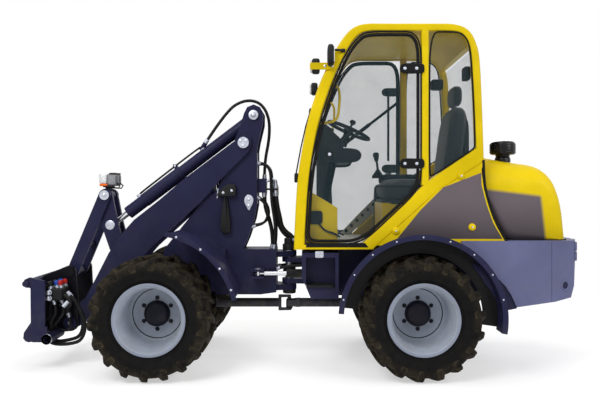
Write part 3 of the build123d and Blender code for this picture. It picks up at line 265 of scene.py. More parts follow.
def band(outer, inner, y_low, y_high, power=5.0, sides=28):
    """Rounded bar between two side-view curves: a superellipse section, inner to outer, y_low to y_high."""
    outer, inner = np.asarray(outer, dtype=float), np.asarray(inner, dtype=float)
    p, q = soft_power(np.linspace(0, 2 * np.pi, sides, endpoint=False) + 0.01, power)
    middle, half = (outer + inner) / 2, (outer - inner) / 2
    flat = middle[:, None] + p[None, :, None] * half[:, None]
    y = np.broadcast_to((y_low + y_high) / 2 + q * (y_high - y_low) / 2, flat.shape[:2])
    return np.stack([flat[..., 0], y, flat[..., 1]], axis=-1)


def drawn_in(outline, gap):
    """Closed side-view outline moved inwards by a gap along its normals."""
    flat = np.asarray(outline, dtype=float)
    ahead = np.roll(flat, -1, axis=0) - np.roll(flat, 1, axis=0)
    ahead /= np.linalg.norm(ahead, axis=1)[:, None]
    turn = np.sum(flat[:, 0] * np.roll(flat[:, 1], -1) - flat[:, 1] * np.roll(flat[:, 0], -1))
    inward = np.sign(turn) * np.stack([-ahead[:, 1], ahead[:, 0]], axis=-1)
    return flat + np.asarray(gap)[..., None, None] * inward


def rounded_plate(outline, y_low, y_high, edge):
    """Plate: outline rows drawn in by e(1 - sin a), with y in from each face by e(1 - cos a)."""
    angle = np.linspace(0, np.pi / 2, 5)
    draw = edge * (1 - np.sin(angle))
    step = edge * (1 - np.cos(angle))
    rows = drawn_in(outline, np.concatenate([draw, draw[::-1]]))
    y = np.concatenate([y_low + step, (y_high - step)[::-1]])
    y = np.broadcast_to(y[:, None], rows.shape[:2])
    return np.stack([rows[..., 0], y, rows[..., 1]], axis=-1)


def rounded_box(low, high, power=8.0, rows=16, columns=28):
    """Superellipsoid box: x, y by the round angle and z by the height angle, each to the power 2/n."""
    low, high = np.asarray(low, dtype=float), np.asarray(high, dtype=float)
    rise = np.linspace(-np.pi / 2, np.pi / 2, rows)[:, None]
    turn = np.linspace(-np.pi, np.pi, columns, endpoint=False)[None] + 0.01
    ring, height = soft_power(rise, power)
    p, q = soft_power(turn, power)
    unit = np.stack(np.broadcast_arrays(ring * p, ring * q, height), axis=-1)
    return (low + high) / 2 + unit * (high - low) / 2


def turned(profile, centre, axis, sides=48):
    """Surface of revolution: rows of (radius, height) carried round an axis through centre."""
    profile = np.asarray(profile, dtype=float)
    axis = np.asarray(axis, dtype=float) / np.linalg.norm(axis)
    help_axis = np.array([0, 0, 1.0]) if abs(axis[2]) < 0.9 else np.array([1.0, 0, 0])
    right = np.cross(axis, help_axis)
    right /= np.linalg.norm(right)
    up = np.cross(axis, right)
    turn = np.linspace(0, 2 * np.pi, sides, endpoint=False)[None, :, None]
    radius, height = profile[:, 0][:, None, None], profile[:, 1][:, None, None]
    return np.asarray(centre) + radius * (np.cos(turn) * right + np.sin(turn) * up) + height * axis


def pipe(path, radius, across=LEFT, sides=12, closed=False):
    """Round tube: a circle square to the path's tangent, kept level by one fixed direction."""
    path = np.asarray(path, dtype=float)
    if closed:
        tangent = np.roll(path, -1, axis=0) - np.roll(path, 1, axis=0)
    else:
        tangent = np.gradient(path, axis=0)
    tangent /= np.linalg.norm(tangent, axis=1)[:, None]
    normal = np.cross(tangent, np.asarray(across, dtype=float))
    normal /= np.linalg.norm(normal, axis=1)[:, None]
    side = np.cross(normal, tangent)
    turn = np.linspace(0, 2 * np.pi, sides, endpoint=False)[None, :, None]
    radius = np.broadcast_to(radius, len(path))[:, None, None]
    return path[:, None] + radius * (np.cos(turn) * side[:, None] + np.sin(turn) * normal[:, None])


def in_side_view(flat, y):
    """Side-view curve (X, Z) set at one Y."""
    flat = np.asarray(flat, dtype=float)
    return np.stack([flat[:, 0], np.full(len(flat), float(y)), flat[:, 1]], axis=-1)


def ring(x, z, radius, count, first=0.0):
    """Side-view points round a centre."""
    turn = first + np.arange(count) * 2 * np.pi / count
    return np.stack([x + radius * np.cos(turn), z + radius * np.sin(turn)], axis=-1)


# Finishes

def scaled(colour, factor, lift=0.0):
    """Colour made darker or lighter."""
    return tuple(factor * c + lift for c in colour)


class Finish:
    """One procedural material, its pattern on Object coordinates."""

    def __init__(self, name):
        self.material = bpy.data.materials.new(name)
        self.material.use_nodes = True
        self.tree = self.material.node_tree
        self.shader = self.tree.nodes["Principled BSDF"]
        self.place = self.tree.nodes.new("ShaderNodeTexCoord").outputs["Object"]

    def add(self, kind, inputs, **settings):
        """Add a node, set it and link or fill its inputs."""
        node = self.tree.nodes.new(kind)
        for key, value in settings.items():
            setattr(node, key, value)
        for key, value in inputs.items():
            self.fill(node.inputs[key], value)
        return node

    def fill(self, socket, value):
        """Link a socket, or set its value."""
        if isinstance(value, bpy.types.NodeSocket):
            self.tree.links.new(value, socket)
        elif socket.type == "RGBA" and len(value) == 3:
            socket.default_value = (*value, 1)
        else:
            socket.default_value = value

    def set(self, **inputs):
        """Set sockets of the shader by their names with underscores."""
        for key, value in inputs.items():
            self.fill(self.shader.inputs[key.replace("_", " ")], value)

    def noise(self, scale, detail=4.0, rough=0.55, stretch=None):
        """Noise value from 0 to 1."""
        place = self.place
        if stretch:
            place = self.add("ShaderNodeMapping", {"Vector": place, "Scale": stretch}).outputs[0]
        inputs = {"Vector": place, "Scale": scale, "Detail": detail, "Roughness": rough}
        return self.add("ShaderNodeTexNoise", inputs).outputs[0]

    def spread(self, value, low, high, new_low=0.0, new_high=1.0):
        """Value stretched from one range to another and clamped."""
        inputs = {"Value": value, "From Min": low, "From Max": high, "To Min": new_low, "To Max": new_high}
        return self.add("ShaderNodeMapRange", inputs).outputs[0]

    def mix(self, share, first, second):
        """Colour mix."""
        node = self.add("ShaderNodeMix", {0: share, 6: first, 7: second}, data_type="RGBA")
        return node.outputs[2]

    def math(self, operation, first, second=0.0, third=0.0):
        """Number operation."""
        return self.add("ShaderNodeMath", {0: first, 1: second, 2: third}, operation=operation).outputs[0]

    def axis(self, name):
        """One object coordinate in metres."""
        return self.add("ShaderNodeSeparateXYZ", {0: self.place}).outputs[name]

    def attribute(self, name):
        """Value of a mesh attribute."""
        return self.add("ShaderNodeAttribute", {}, attribute_name=name).outputs["Fac"]

    def bump(self, height, strength, distance):
        """Bump normal from a height value, set on the shader."""
        inputs = {"Height": height, "Strength": strength, "Distance": distance}
        self.set(Normal=self.add("ShaderNodeBump", inputs).outputs[0])

    def colour(self):
        """Socket that feeds the base colour."""
        return self.shader.inputs["Base Color"].links[0].from_socket

    def edges(self, radius):
        """Share of edge wear: how far a rounded normal leaves the true one."""
        bevel = self.add("ShaderNodeBevel", {"Radius": radius}, samples=4).outputs[0]
        true = self.add("ShaderNodeNewGeometry", {}).outputs["True Normal"]
        dot = self.add("ShaderNodeVectorMath", {0: bevel, 1: true}, operation="DOT_PRODUCT").outputs["Value"]
        return self.spread(dot, 0.99, 0.8)


def painted(name, colour, rough=0.34, soil=0.25, wear=0.25, peel=0.05, grain=0.0):
    """Sprayed paint: soft tone changes, dust low down, rubbed edges and orange peel."""
    finish = Finish(name)
    tone = finish.noise(3.0, 5.0)
    deep = scaled(colour, 0.82)
    lit = tuple(min(1.0, 1.06 * c + 0.004) for c in colour)
    body = finish.mix(finish.spread(tone, 0.3, 0.7), deep, lit)
    low = finish.spread(finish.axis("Z"), 1.25, 0.2)
    patch = finish.spread(finish.noise(9.0, 8.0, 0.65), 0.42, 0.72)
    dusty = finish.math("MULTIPLY", finish.math("MULTIPLY", low, patch), soil)
    body = finish.mix(dusty, body, display(128, 120, 104))
    scuff = finish.spread(finish.noise(60.0, 3.0), 0.45, 0.62)
    rub = finish.math("MULTIPLY", finish.math("MULTIPLY", finish.edges(0.004), scuff), wear)
    pale = tuple(min(1.0, 0.55 * c + 0.16) for c in colour)
    finish.set(Base_Color=finish.mix(rub, body, pale))
    dull = finish.math("ADD", dusty, finish.noise(40.0))
    finish.set(Roughness=finish.spread(dull, 0.3, 1.1, rough, rough + 0.3))
    finish.set(Coat_Weight=0.03, Coat_Roughness=0.12, Specular_IOR_Level=0.12)
    peel_height = finish.noise(700.0, 2.0)
    if grain:
        peel_height = finish.math("MULTIPLY_ADD", finish.noise(90.0, 5.0), grain, peel_height)
    finish.bump(peel_height, peel, 0.002)
    return finish


def make_finishes():
    """Every material of the loader by its finish name."""
    tint = colours()
    made = {
        "yellow_paint": painted("yellow paint", tint.yellow, soil=0.08, wear=0.1),
        "navy_paint": painted("navy paint", tint.navy, rough=0.4, soil=0.1),
        "grey_navy_paint": painted("tail paint", tint.tail, rough=0.42, soil=0.16),
        "tail_cast": tail_cast(tint),
        "panel_field": panel_field(tint),
        "hitch_paint_and_shade": hitch_paint_and_shade(tint),
        "black_paint": painted("black paint", display(26, 26, 29), rough=0.42, soil=0.3),
        "panel_paint": painted("panel paint", tint.panel, rough=0.4, soil=0.1, wear=0.1),
        "rim_paint": painted("rim paint", tint.rim, rough=0.4, soil=0.35, wear=0.2),
        "flange_paint": painted("flange paint", tint.flange, rough=0.36, soil=0.2),
        "hub_paint": painted("hub paint", display(17, 17, 33), rough=0.42, soil=0.1),
        "casting": painted("casting", display(50, 50, 60), rough=0.6, soil=0.4, peel=0.25, grain=3.0),
        "hood_paint": hood_paint(tint),
        "tyre": rubber_tyre(tint),
        "bright_steel": machined("bright steel", display(196, 200, 212), 0.3),
        "rod_chrome": machined("rod chrome", display(226, 228, 232), 0.1),
        "glass": window_glass(tint),
        "black_plastic": moulded("black plastic", display(17, 17, 19), 0.5),
        "gloss_black": moulded("gloss black", display(14, 14, 16), 0.12),
        "grey_plastic": moulded("grey plastic", display(92, 92, 96), 0.5),
        "alloy": painted("alloy tread", display(222, 225, 228), rough=0.4, soil=0.05),
        "blue_plastic": moulded("blue plastic", display(30, 66, 150), 0.35),
        "red_plastic": moulded("red plastic", display(168, 30, 26), 0.35),
        "amber_plastic": moulded("amber plastic", display(232, 104, 14), 0.2),
        "rubber": moulded("seal rubber", display(9, 9, 10), 0.75),
        "lamp_plastic": lamp_lens(),
        "seat_cloth": woven("seat cloth", display(44, 45, 52)),
        "hose_rubber": moulded("hose rubber", display(12, 12, 13), 0.5),
    }
    return {name: finish.material for name, finish in made.items()}


def panel_tone_and_shade(finish, tint):
    """Panel colour with soft tone changes, and painted shade: darker towards the bottom, lighter towards the
    top.
    """
    deep = finish.mix(finish.noise(5.0), scaled(tint.panel, 0.5), scaled(tint.panel, 0.6))
    pale = finish.mix(finish.noise(5.0), tuple(tint.panel), scaled(tint.panel, 1.2))
    # painted shade: the dark copy at the bottom blends up into the light copy at the top
    return finish.mix(finish.spread(finish.axis("Z"), 0.9, 1.14), deep, pale)


def beyond_lines(finish, first, second, points, join="MULTIPLY"):
    """Mask of what lies under the lines through neighbouring points: every line, or any one with MAXIMUM."""
    share = None
    for (p0, q0), (p1, q1) in zip(points, points[1:]):
        slope = (q1 - q0) / (p1 - p0)
        over = finish.math("MULTIPLY_ADD", first, -slope, second)
        edge = q0 - slope * p0
        part = finish.spread(over, edge + 0.001, edge - 0.001)
        share = finish.math(join, share, part) if share else part
    return share


SEAM = [(-1.331, 0.874), (-1.261, 0.993), (-1.218, 1.112), (-1.185, 1.241), (-1.18, 1.403)]


def panel_field(tint):
    """Yellow side panels with the panel-coloured field under a curved edge, and a black rear seam."""
    finish = painted("panel field", tint.yellow, soil=0.08, wear=0.1)
    old = finish.colour()
    x, z = finish.axis("X"), finish.axis("Z")
    under = beyond_lines(finish, x, z, [(-0.662, 0.937), (-0.78, 1.081), (-0.926, 1.226), (-1.151, 1.313)])
    seam = beyond_lines(finish, x, z, SEAM, "MAXIMUM")
    line = beyond_lines(finish, x, z, [(p + 0.011, q) for p, q in SEAM], "MAXIMUM")
    foot = finish.spread(z, 0.891, 0.893)
    field = finish.math("MULTIPLY", finish.math("MULTIPLY", under, line), foot)
    body = finish.mix(field, old, panel_tone_and_shade(finish, tint))
    finish.set(Base_Color=finish.mix(seam, display(10, 10, 11), body))
    return finish


def tail_cast(tint):
    """Cast tail: grained paint with a faint seam line down each flank."""
    finish = painted("tail casting", tint.tail, rough=0.42, soil=0.16, peel=0.12, grain=2.0)
    old = finish.colour()
    across = finish.math("ABSOLUTE", finish.math("ADD", finish.axis("X"), 1.616))
    side = finish.spread(finish.math("ABSOLUTE", finish.axis("Y")), 0.503, 0.505)
    line = finish.math("MULTIPLY", finish.spread(across, 0.0035, 0.002, 0.0, 0.45), side)
    finish.set(Base_Color=finish.mix(line, old, display(36, 36, 52)))
    return finish


def hitch_paint_and_shade(tint):
    """Hitch: navy side plates and bars; the middle plates are made near-black as painted shade of the
    hitch's inner space.
    """
    finish = painted("hitch paint and shade", tint.navy, rough=0.4, soil=0.12)
    old = finish.colour()
    middle = finish.spread(finish.math("ABSOLUTE", finish.axis("Y")), 0.178, 0.174)
    # painted shade: near-black on the middle plates stands for the shade between the side plates
    finish.set(Base_Color=finish.mix(middle, old, display(15, 15, 22)))
    return finish


def hood_paint(tint):
    """Yellow hood with its panel-coloured side field, edged by coordinate masks."""
    finish = painted("hood paint", tint.yellow, soil=0.08, wear=0.1)
    old = finish.colour()
    x, y, z = finish.axis("X"), finish.axis("Y"), finish.axis("Z")
    top = finish.spread(finish.math("MULTIPLY_ADD", x, -0.12, z), 1.371, 1.348)
    back = finish.spread(finish.math("MULTIPLY_ADD", z, -0.11, x), -1.718, -1.695)
    side = finish.spread(finish.math("ABSOLUTE", y), 0.4235, 0.4245)
    field = finish.math("MULTIPLY", finish.math("MULTIPLY", top, back), side)
    finish.set(Base_Color=finish.mix(field, old, panel_tone_and_shade(finish, tint)))
    return finish


def rubber_tyre(tint):
    """Tyre rubber: near black, with dried soil where the dust attribute and noise say."""
    finish = Finish("tyre rubber")
    dust = finish.attribute("dust")
    patch = finish.spread(finish.noise(16.0, 9.0, 0.7), 0.38, 0.72)
    fine = finish.spread(finish.noise(120.0, 4.0), 0.3, 0.75, 0.4, 1.0)
    share = finish.math("MULTIPLY", finish.math("MULTIPLY", dust, patch), fine)
    base = finish.mix(finish.noise(30.0, 5.0), display(9, 9, 10), display(24, 24, 25))
    finish.set(Base_Color=finish.mix(share, base, tuple(tint.soil)))
    finish.set(Roughness=finish.spread(share, 0.0, 0.5, 0.62, 0.95), Specular_IOR_Level=0.06)
    finish.bump(finish.noise(220.0, 6.0, 0.65), 0.25, 0.003)
    return finish


def machined(name, colour, rough):
    """Bare steel with fine drawn lines."""
    finish = Finish(name)
    lines = finish.noise(40.0, 6.0, 0.6, (1, 30, 1))
    finish.set(Base_Color=finish.mix(finish.spread(lines, 0.3, 0.7), scaled(colour, 0.75), colour))
    finish.set(Metallic=1.0, Roughness=finish.spread(lines, 0.2, 0.8, rough, rough + 0.2))
    finish.bump(lines, 0.04, 0.001)
    return finish


def moulded(name, colour, rough):
    """Moulded plastic or rubber with a fine grain."""
    finish = Finish(name)
    grain = finish.noise(260.0, 3.0)
    tone = finish.noise(25.0, 6.0)
    light = scaled(colour, 1.35, 0.006)
    finish.set(Base_Color=finish.mix(finish.spread(tone, 0.35, 0.75), colour, light))
    finish.set(Roughness=finish.spread(tone, 0.3, 0.7, rough, rough + 0.2), Specular_IOR_Level=0.22)
    finish.bump(grain, 0.06, 0.001)
    return finish


def window_glass(tint):
    """Tinted safety glass: thin see-through sheet with faint dust."""
    finish = Finish("window glass")
    film = finish.spread(finish.noise(7.0, 6.0), 0.4, 0.8, 0.15, 0.19)
    finish.set(Base_Color=finish.mix(finish.noise(4.0), tuple(tint.glass), scaled(tint.glass, 0.9)))
    finish.set(Alpha=film, Roughness=0.03, IOR=1.5, Specular_IOR_Level=0.7)
    finish.material.surface_render_method = "BLENDED"
    return finish


def lamp_lens():
    """Lamp lens: bright moulded ribs under clear plastic."""
    finish = Finish("lamp lens")
    inputs = {"Vector": finish.place, "Scale": 60.0, "Distortion": 0.2}
    ribs = finish.add("ShaderNodeTexWave", inputs, bands_direction="Z").outputs["Fac"]
    finish.set(Base_Color=finish.mix(ribs, display(206, 210, 214), display(246, 247, 248)))
    finish.set(Roughness=0.12, Coat_Weight=0.6, Coat_Roughness=0.04)
    finish.bump(ribs, 0.3, 0.003)
    return finish


def woven(name, colour):
    """Woven cloth: two crossing waves with a fleck of lighter yarn."""
    finish = Finish(name)
    waves = []
    for direction in ("Y", "DIAGONAL"):
        inputs = {"Vector": finish.place, "Scale": 210.0, "Distortion": 0.6}
        waves.append(finish.add("ShaderNodeTexWave", inputs, bands_direction=direction).outputs["Fac"])
    weave = finish.math("MULTIPLY", *waves)
    fleck = finish.spread(finish.noise(300.0, 2.0), 0.6, 0.75)
    body = finish.mix(weave, scaled(colour, 0.6), scaled(colour, 1.3))
    finish.set(Base_Color=finish.mix(fleck, body, scaled(colour, 2.0, 0.02)))
    finish.set(Roughness=0.92, Sheen_Weight=0.3, Sheen_Roughness=0.5)
    finish.bump(weave, 0.35, 0.002)
    return finish


PAINT = {}


# Hoses

TILT_ROUTE = [
    (693.75, 0, 1549.29), (544.3, 0, 1779.8), (420, 0, 1862), (300, 0, 1850), (232, 0, 1745),
    (228, 0, 1590), (265.5, 0, 1410), (265.5, 0, 1290.3),
]
TOWER_ROUTE = [
    (265.5, 45, 1189.7), (265.5, 45, 1100), (230.5, 48, 1000), (205.5, 52, 895), (205.5, 52, 790.3),
]
JOINT_ROUTE = [
    (179.7, 72, 650), (95, 72, 664), (0, 82, 674), (-90, 95, 674), (-165, 101, 660), (-244.7, 101, 648),
]
LOOM_ROUTE = [
    (182, 36, 1196), (176, 36, 1110), (152, 36, 1010), (142, 34, 950), (112, 31, 908), (70, 30, 880),
    (37.2, 30, 838),
]
MIDDLE_ROUTE = [
    (196, 0, 1196), (190, 0, 1100), (170, 0, 1000), (156, 0, 940), (120, 0, 886), (75, 0, 860),
    (37.2, 0, 837),
]
FEED_ROUTE = [
    (319, 60, 1400), (268, 60, 1404), (222, 60, 1360), (214, 60, 1290), (213, 60, 1200), (208, 62, 1110),
    (190, 66, 1010), (180, 68, 900), (192, 76, 789),
]
VALVE_ROUTE = [
    (319, 74, 1160), (262, 74, 1130), (232, 75, 1050), (252, 77, 980), (310, 82, 955), (352, 92, 950),
]
OUTER_ROUTE = [
    (1606, 236, 505), (1530, 236, 430), (1474, 236, 290), (1500, 236, 176), (1590, 236, 150),
    (1700, 236, 150), (1754, 236, 190), (1767.7, 236, 250),
]
INNER_ROUTE = [
    (1606, 206, 490), (1545, 206, 420), (1500, 206, 290), (1524, 206, 196), (1600, 206, 172),
    (1690, 206, 160), (1750, 206, 196), (1767.7, 206, 246),
]
HITCH_ROUTE = [
    (1767.7, 80, 530), (1690, 80, 530), (1640, 82, 455), (1640, 86, 340), (1690, 88, 258),
    (1767.7, 88, 258),
]


def other_side(route):
    """Route mirrored to the machine's right."""
    return [(x, -y, z) for x, y, z in route]


PIVOT_BODIES = ("front_body", "rear_body")
HOSES = [  # name, diameter, bodies at its two ends, route
    ("tilt_hose", 22, ("tilt_barrel", "front_body"), TILT_ROUTE),
    ("tower_hose_left", 22, ("front_body",), TOWER_ROUTE),
    ("tower_hose_right", 22, ("front_body",), other_side(TOWER_ROUTE)),
    ("joint_hose_left", 22, PIVOT_BODIES, JOINT_ROUTE),
    ("joint_hose_right", 22, PIVOT_BODIES, other_side(JOINT_ROUTE)),
    ("loom_left", 26, PIVOT_BODIES, LOOM_ROUTE),
    ("loom_middle", 26, PIVOT_BODIES, MIDDLE_ROUTE),
    ("loom_right", 26, PIVOT_BODIES, other_side(LOOM_ROUTE)),
    ("feed_hose_left", 22, ("front_body",), FEED_ROUTE),
    ("feed_hose_right", 22, ("front_body",), other_side(FEED_ROUTE)),
    ("valve_hose_left", 18, ("front_body",), VALVE_ROUTE),
    ("valve_hose_right", 18, ("front_body",), other_side(VALVE_ROUTE)),
    ("coupler_hose_outer", 24, ("hitch",), OUTER_ROUTE),
    ("coupler_hose_inner", 24, ("hitch",), INNER_ROUTE),
    ("hitch_hose_left", 16, ("hitch",), HITCH_ROUTE),
    ("hitch_hose_right", 16, ("hitch",), other_side(HITCH_ROUTE)),
]
FERRULE = [
    (0, 0), (1.45, 0), (1.5, 4), (1.5, 9), (1.32, 10), (1.3, 12), (1.42, 13), (1.42, 17), (1.3, 18),
    (1.3, 20), (1.42, 21), (1.42, 25), (1.3, 26), (1.3, 30), (1.02, 31), (0.9, 31),
]


def route_line(name, points):
    """Points of a hose's centre line, read from a NURBS spline through its route."""
    curve = bpy.data.curves.new(name, "CURVE")
    curve.dimensions = "3D"
    spline = curve.splines.new("NURBS")
    spline.points.add(len(points) - 1)
    spline.points.foreach_set("co", np.column_stack([np.array(points) * MM, np.ones(len(points))]).ravel())
    spline.order_u = 3
    spline.use_endpoint_u = True
    spline.resolution_u = 12
    route = bpy.data.objects.new(name, curve)
    bpy.context.scene.collection.objects.link(route)
    line = bpy.data.meshes.new_from_object(route)
    path = np.empty(len(line.vertices) * 3)
    line.vertices.foreach_get("co", path)
    bpy.data.objects.remove(route)
    bpy.data.curves.remove(curve)
    bpy.data.meshes.remove(line)
    return path.reshape(-1, 3)


class LOADER_OT_hoses(bpy.types.Operator):
    """Lay the hydraulic hoses and their crimped ends"""

    bl_idname = "loader.hoses"
    bl_label = "Hoses"

    def execute(self, context):
        ends = {}
        for name, diameter, bodies, route in HOSES:
            path = route_line(f"{name}_route", route)
            shape = Shape()
            across = LEFT if abs(np.ptp(path[:, 1])) < 0.02 else UP
            shape.tube(path / MM, diameter / 2, across, 16)
            blend = (*bodies, path[0], path[-1]) if len(bodies) > 1 else None
            piece = shape.build(
                f"{name}_line", bodies[0], "hose_rubber", ["hose_rubber"], 60,
                [name] if name in frame["nodes"] else (), blend=blend,
            )
            for body, place, aim in ((bodies[0], path[0], path[2]), (bodies[-1], path[-1], path[-3])):
                collar = np.array(FERRULE) * (diameter / 2, 1)
                ends.setdefault(body, Shape()).turn(collar, place / MM, aim - place, 18)
        for body, shape in ends.items():
            shape.build(f"hose_ends_{body}", body, "bright_steel", ["bright_steel"], 40)
        return {"FINISHED"}


# Wheels

FRONT_AXLE_X = 945.0
REAR_AXLE_X = -775.0
WHEELS = [("front", FRONT_AXLE_X), ("rear", REAR_AXLE_X)]
WHEEL_Y = 460.0
AXLE_Z = 395.0
TYRE_HALF_SECTION = [  # radius, y
    (213, 150), (236, 162), (250, 168), (254, 176), (258, 178), (262, 177), (305, 190), (336, 189),
    (352, 182), (363, 168), (368, 140), (369, 70), (369, 0),
]
LUG_ROWS = np.array([  # across the tread, top radius, root radius, along the tread, half width
    (-8, 388, 356, 46, 15), (0, 394.4, 358, 42, 17), (60, 394.7, 360, 12, 18), (110, 394.4, 359, -12, 18.5),
    (150, 392, 352, -32, 19), (170, 386, 342, -42, 20), (183, 368, 332, -46, 21), (189, 345, 322, -47, 20),
    (190, 322, 312, -47, 15),
])
LUG_COUNT = 18


def tyre_shape(axle_x):
    """Tyre: a section (radius, y) turned about the axle, and lugs set in polar rows (y, radius, angle)."""
    shape = Shape()
    half = np.array(TYRE_HALF_SECTION, dtype=float)
    section = smooth(np.concatenate([half, half[-2::-1] * (1, -1)]), 3)
    crown = np.clip((section[:, 0] - 300) / 70, 0, 1)
    centre = (axle_x, WHEEL_Y, AXLE_Z)
    shape.grid(turned(section, centre, LEFT, 108), around=True, dust=0.06 + 0.7 * crown[:, None])
    y, top, root, shift, half_width = LUG_ROWS.T
    across = np.array([-1.35, -1.08, -1.0, -0.72, 0.72, 1.0, 1.08, 1.35])
    lift = np.array([0.0, 0.6, 0.88, 1.0, 1.0, 0.88, 0.6, 0.0])
    radius = root[:, None] + (top - root)[:, None] * lift
    arc = shift[:, None] + half_width[:, None] * across
    for side, first in ((1, 0.0), (-1, np.pi / LUG_COUNT)):
        turn = first + 2 * np.pi * np.arange(LUG_COUNT) / LUG_COUNT
        angle = turn[:, None, None] + arc[None] / 380
        spread = np.broadcast_to(side * y[None, :, None], angle.shape)
        wide = np.broadcast_to(radius[None], angle.shape)
        local = np.stack([wide * np.cos(angle), spread, wide * np.sin(angle)], axis=-1)
        shape.copies(local + centre, ends=True, dust=(0.55 + 0.4 * (lift < 0.95))[None, None])
    return shape


RIM_SECTION = [  # radius, y, finish: 0 disc and barrel, 1 flange, 2 hub, 4 a thin dark ring of painted shade on the disc's outer step
    (0, -18, 2), (58, -18, 2), (70, -20, 2), (77, -26, 2), (81, -36, 2), (83, -55, 2), (86, -60, 0),
    (90, -63, 0), (118, -64, 0), (122, -66, 0), (150, -66, 0), (160, -65, 4), (166, -62, 0), (170, -60, 0),
    (178, -52, 0), (184, -34, 0), (186, 20, 0), (188, 96, 0), (191, 112, 0), (197, 134, 0), (203, 152, 0),
    (207, 166, 0), (212, 173, 1), (219, 176, 1), (226, 175.5, 1), (231, 172, 1), (232, 168, 1),
    (230, 164, 1), (211.6, 163.6, 1), (211.6, -163.6, 0), (231, -163.8, 1), (232, -172, 1),
    (226, -175.5, 1), (212, -174, 1), (198, -160, 0), (190, -100, 0), (186, -82, 0), (0, -80, 0),
]
NUT_SECTION = [(0, 15), (6, 14), (6.5, 11), (10, 10), (11, 9), (11, 2), (14, 2), (15, 0)]


def rim_shape(axle_x):
    """Rim: one section turned about the axle, with six nuts round the hub."""
    shape = Shape()
    section = np.array(RIM_SECTION)
    centre = np.array((axle_x, WHEEL_Y, AXLE_Z))
    grid = turned(section[:, :2], centre, LEFT, 96)
    shape.grid(grid, around=True, finish=section[:, 2:].astype(int))
    spots = in_side_view(ring(0, 0, sizes().stud / MM, 6, np.pi / 6), 0)
    nut = turned(NUT_SECTION, centre + (0, -64, 0), LEFT, 12)
    shape.copies(nut[None] + spots[:, None, None], around=True, finish=3)
    return shape


class LOADER_OT_wheels(bpy.types.Operator):
    """Build the four tyres with their lugs and the dished rims"""

    bl_idname = "loader.wheels"
    bl_label = "Wheels"

    def execute(self, context):
        for end, axle_x in WHEELS:
            for side, sign in SIDES.items():
                body = f"wheel_{end}_{side}"
                tyre_shape(axle_x).build(
                    f"dressed_tyre_{end}_{side}", body, "tyre", ["tyre"], 40,
                    [f"tyre_{end}_{side}"], sign < 0,
                )
                rim_shape(axle_x).build(
                    f"dressed_rim_{end}_{side}", body, "rim_paint",
                    # the last finish, seal rubber, darkens a thin ring on the disc as painted shade
                    ["rim_paint", "flange_paint", "hub_paint", "hub_paint", "rubber"], 32,
                    [f"rim_{end}_{side}"], sign < 0,
                )
        return {"FINISHED"}


# Cab

FRAME_OUTER = [
    (42, 823), (40, 900), (22, 1269), (-12, 1480), (-47, 1666), (-115, 1882), (-182, 2030), (-244, 2150),
    (-318, 2252), (-404, 2292), (-560, 2290), (-850, 2290), (-1010, 2290), (-1100, 2250), (-1146, 2160),
    (-1167, 2060), (-1180, 1760), (-1190, 1468), (-1191, 1395),
]
FRAME_INNER = [
    (-27, 823), (-30, 900), (-53, 1269), (-86, 1480), (-122, 1666), (-196, 1884), (-252, 2015), (-300, 2112),
    (-360, 2206), (-424, 2242), (-560, 2241), (-850, 2241), (-1000, 2240), (-1060, 2222), (-1098, 2150),
    (-1112, 2060), (-1126, 1760), (-1138, 1468), (-1138, 1395),
]
SLOPE_LOW = [(-1191, 1395), (-1120, 1349), (-880, 1195), (-700, 1032), (-560, 905), (-470, 823)]
SLOPE_HIGH = [(-1138, 1480), (-1050, 1422), (-812, 1260), (-640, 1085), (-500, 955), (-392, 853)]
CAB_OUT = 480.0
CAB_IN = 420.0
DOOR_SEAL = [
    (-33, 862), (-40, 1000), (-60, 1319), (-122, 1636), (-202, 1884), (-300, 2108), (-374, 2199),
    (-428, 2234), (-600, 2236), (-782, 2234), (-782, 1900), (-782, 1400), (-780, 1220), (-590, 1040),
    (-400, 862), (-200, 860),
]
QUARTER_SEAL = [
    (-838, 2232), (-940, 2234), (-1036, 2232), (-1090, 2180), (-1108, 2060), (-1136, 1500), (-1120, 1472),
    (-1000, 1392), (-850, 1295), (-838, 1310), (-838, 1700),
]
SCREEN_SIDE = [(18, 900), (8, 1269), (-26, 1480), (-61, 1666), (-130, 1882), (-196, 2028), (-250, 2132)]
GRAB_BAR = [(-200, 1906), (-240, 1898), (-262, 1850), (-252, 1720), (-240, 1672), (-190, 1652), (-124, 1648)]
TREAD = [
    (-300, 862), (-300, 862), (-386, 862), (-386, 862), (-520, 984), (-668, 1124), (-668, 1124),
    (-640, 1180), (-616, 1184), (-570, 1140), (-440, 1010), (-330, 892),
]
CAPS = [(-1041, 1300), (-620, 944), (-1112, 969)]


POST = np.array([(-835.0, 1240), (-835, 1500), (-835, 2000), (-835, 2262)])
POST_WIDTH = 49
SILL = np.array([(-475.0, 823), (-200, 823), (0, 823), (30, 823)])
SILL_HEIGHT = 30
CAP_DOME = [(0, 492), (9, 492), (20, 489), (24, 484), (24, 478)]
EYELET = [(0, 1), (8, 1), (10, 3), (13, 1), (13, -2)]
ROOF_ROWS = slice(40, 88)


def cab_side_shape(outer, inner):
    """Left cab side: frame, slope, post and sill as rounded bars, a grab bar and bolted caps."""
    shape = Shape()
    shape.grid(band(outer, inner, CAB_IN, CAB_OUT), around=True, ends=True)
    shape.grid(band(smooth(SLOPE_HIGH), smooth(SLOPE_LOW), CAB_IN, CAB_OUT, 9.0), around=True, ends=True)
    shape.grid(band(POST + (POST_WIDTH, 0), POST, CAB_IN, CAB_OUT), around=True, ends=True)
    shape.grid(band(SILL + (0, SILL_HEIGHT), SILL, CAB_IN, CAB_OUT, 9.0), around=True, ends=True)
    shape.tube(in_side_view(smooth(GRAB_BAR, 5), 412), 9)
    for x, z in CAPS:
        shape.turn(CAP_DOME, (x, 0, z), LEFT, 28)
    shape.bolts([(x, 490, z) for x, z in CAPS], LEFT, 0.7, 1)
    return shape


